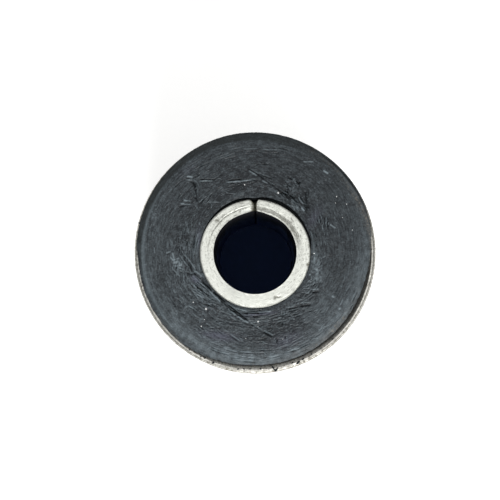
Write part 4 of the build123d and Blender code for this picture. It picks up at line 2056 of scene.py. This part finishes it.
@dataclass
class Studio:
    """The pale floor, the soft light and the camera above the bush."""

    sizes: BushSizes
    floor_half: float = 1.5
    floor_colour: Colour = (0.86, 0.86, 0.855, 1.0)
    floor_glow: float = 0.45
    # Dark navy painted on the floor under the bore, as painted shade
    painted_bore_shade: Colour = (0.085, 0.135, 0.31, 1.0)
    zenith_light: float = 0.90
    horizon_light: float = 0.40
    shade_azimuth: float = 220.0
    shade_elevation: float = 22.0
    shade_share: float = 0.65
    key_power: float = 3.0
    key_size: float = 0.30
    key_distance: float = 0.55
    key_azimuth: float = 284.0
    key_elevation: float = 42.0
    view_azimuth: float = 281.0
    view_elevation: float = 88.0
    view_distance: float = 0.24
    photo_width: float = 500.0
    pixels_across_tube: float = 241.5
    aim_right: float = -0.730 * MM
    aim_up: float = 0.411 * MM

    def floor(self) -> None:
        """Lays the floor: lit like paper, lifted to white for the camera and in reflections, with painted
        shade under the bore.

        Under the bore the floor is painted a dark navy and left without the lift, as painted shade,
        so nothing pale shows through it.
        """
        edge = np.linspace(-self.floor_half, self.floor_half, 3)
        x, y = np.meshgrid(edge, edge)
        piece = welded_object("floor", [Patch(np.stack([x, y, np.zeros_like(x)], axis=-1))])
        nodes = Surface("studio_floor")
        radius = nodes.vector("LENGTH", nodes.place())
        # Painted shade: inside this circle the floor is dark navy and has no glow
        outside = nodes.math("GREATER_THAN", radius, 1.1 * self.sizes.sleeve_radius)
        nodes.look("Base Color", nodes.mix(outside, self.painted_bore_shade, self.floor_colour))
        nodes.shader.inputs["Roughness"].default_value = 1.0
        nodes.shader.inputs["Specular IOR Level"].default_value = 0.0
        nodes.shader.inputs["Emission Color"].default_value = WHITE
        seen = nodes.add("ShaderNodeLightPath")
        by_eye = nodes.larger(seen.outputs["Is Camera Ray"], seen.outputs["Is Glossy Ray"])
        nodes.look("Emission Strength", nodes.times(nodes.times(by_eye, outside), self.floor_glow))
        piece.data.materials.append(nodes.material)

    def world(self) -> None:
        """Lights the room: bright overhead, dimmer low down and on the shaded side.

        The camera sees plain white.
        """
        world = bpy.data.worlds.new("studio")
        bpy.context.scene.world = world
        world.use_nodes = True
        nodes = Nodes(world.node_tree)
        direction = nodes.add("ShaderNodeTexCoord").outputs["Generated"]
        parts = nodes.add("ShaderNodeSeparateXYZ")
        nodes.feed(parts.inputs[0], direction)
        overhead = nodes.band(parts.outputs[2], 0.0, 0.9, self.horizon_light, self.zenith_light)
        towards = nodes.vector("DOT_PRODUCT", direction, heading(self.shade_azimuth, self.shade_elevation))
        shade = nodes.band(towards, 0.60, 0.92, 1.0, 1.0 - self.shade_share)
        seen = nodes.add("ShaderNodeLightPath")
        strength = nodes.add("ShaderNodeMix")
        nodes.feed(strength.inputs[0], seen.outputs["Is Camera Ray"])
        nodes.feed(strength.inputs[2], nodes.times(overhead, shade))
        strength.inputs[3].default_value = 1.0
        background = world.node_tree.nodes["Background"]
        nodes.feed(background.inputs["Strength"], strength.outputs[0])
        background.inputs["Color"].default_value = WHITE

    def lamp(self) -> None:
        """Hangs one soft lamp low over the camera's side of the bush."""
        light = bpy.data.lights.new("key", "AREA")
        light.shape = "DISK"
        light.size = self.key_size
        light.energy = self.key_power
        lamp = bpy.data.objects.new("key", light)
        away = heading(self.key_azimuth, self.key_elevation)
        lamp.location = Vector((0.0, 0.0, self.sizes.length)) + away * self.key_distance
        lamp.rotation_mode = "QUATERNION"
        lamp.rotation_quaternion = away.to_track_quat("Z", "Y")
        bpy.context.scene.collection.objects.link(lamp)

    def camera(self) -> None:
        """Puts the camera where the photograph was taken, with the seam towards the top.

        The focal length makes the tube's upper end as wide as it is in the photograph:
        focal = sensor * pixels across / photo width * distance / diameter.
        """
        data = bpy.data.cameras.new("camera")
        camera = bpy.data.objects.new("camera", data)
        target = Vector((0.0, 0.0, self.sizes.tube_high))
        back = heading(self.view_azimuth, self.view_elevation)
        right = Vector((0.0, 1.0, 0.0)).cross(back).normalized()
        up = back.cross(right)
        aim = target + right * self.aim_right + up * self.aim_up
        across = Matrix((right, up, back)).transposed().to_4x4()
        camera.matrix_world = Matrix.Translation(aim + back * self.view_distance) @ across
        share = self.pixels_across_tube / self.photo_width
        data.lens = data.sensor_width * share * self.view_distance / (2 * self.sizes.tube_radius)
        data.clip_start = 0.01
        data.clip_end = 10.0
        bpy.context.scene.collection.objects.link(camera)
        bpy.context.scene.camera = camera

    def build(self) -> None:
        """Sets up the floor, the light and the camera."""
        bpy.context.scene.view_settings.view_transform = "Standard"
        self.floor()
        self.world()
        self.lamp()
        self.camera()


def main() -> None:
    """Builds the bush's pieces and the studio in order, and notes the size of the result."""
    logging.basicConfig(level=logging.INFO, format="%(name)s: %(message)s")
    sizes = BushSizes.from_frame()
    rubber = RubberBody(sizes).build()
    pieces = [
        InnerSleeve(sizes).build(),
        SeamScale(sizes).build(),
        rubber,
        OuterSleeve(sizes).build(),
        Crumbs(sizes).build(rubber.data.materials[0]),
        Grit(sizes).build(),
    ]
    for piece in pieces:
        log.info("%s: %d faces", piece.name, len(piece.data.polygons))
    Studio(sizes).build()


if __name__ == "__main__":
    main()
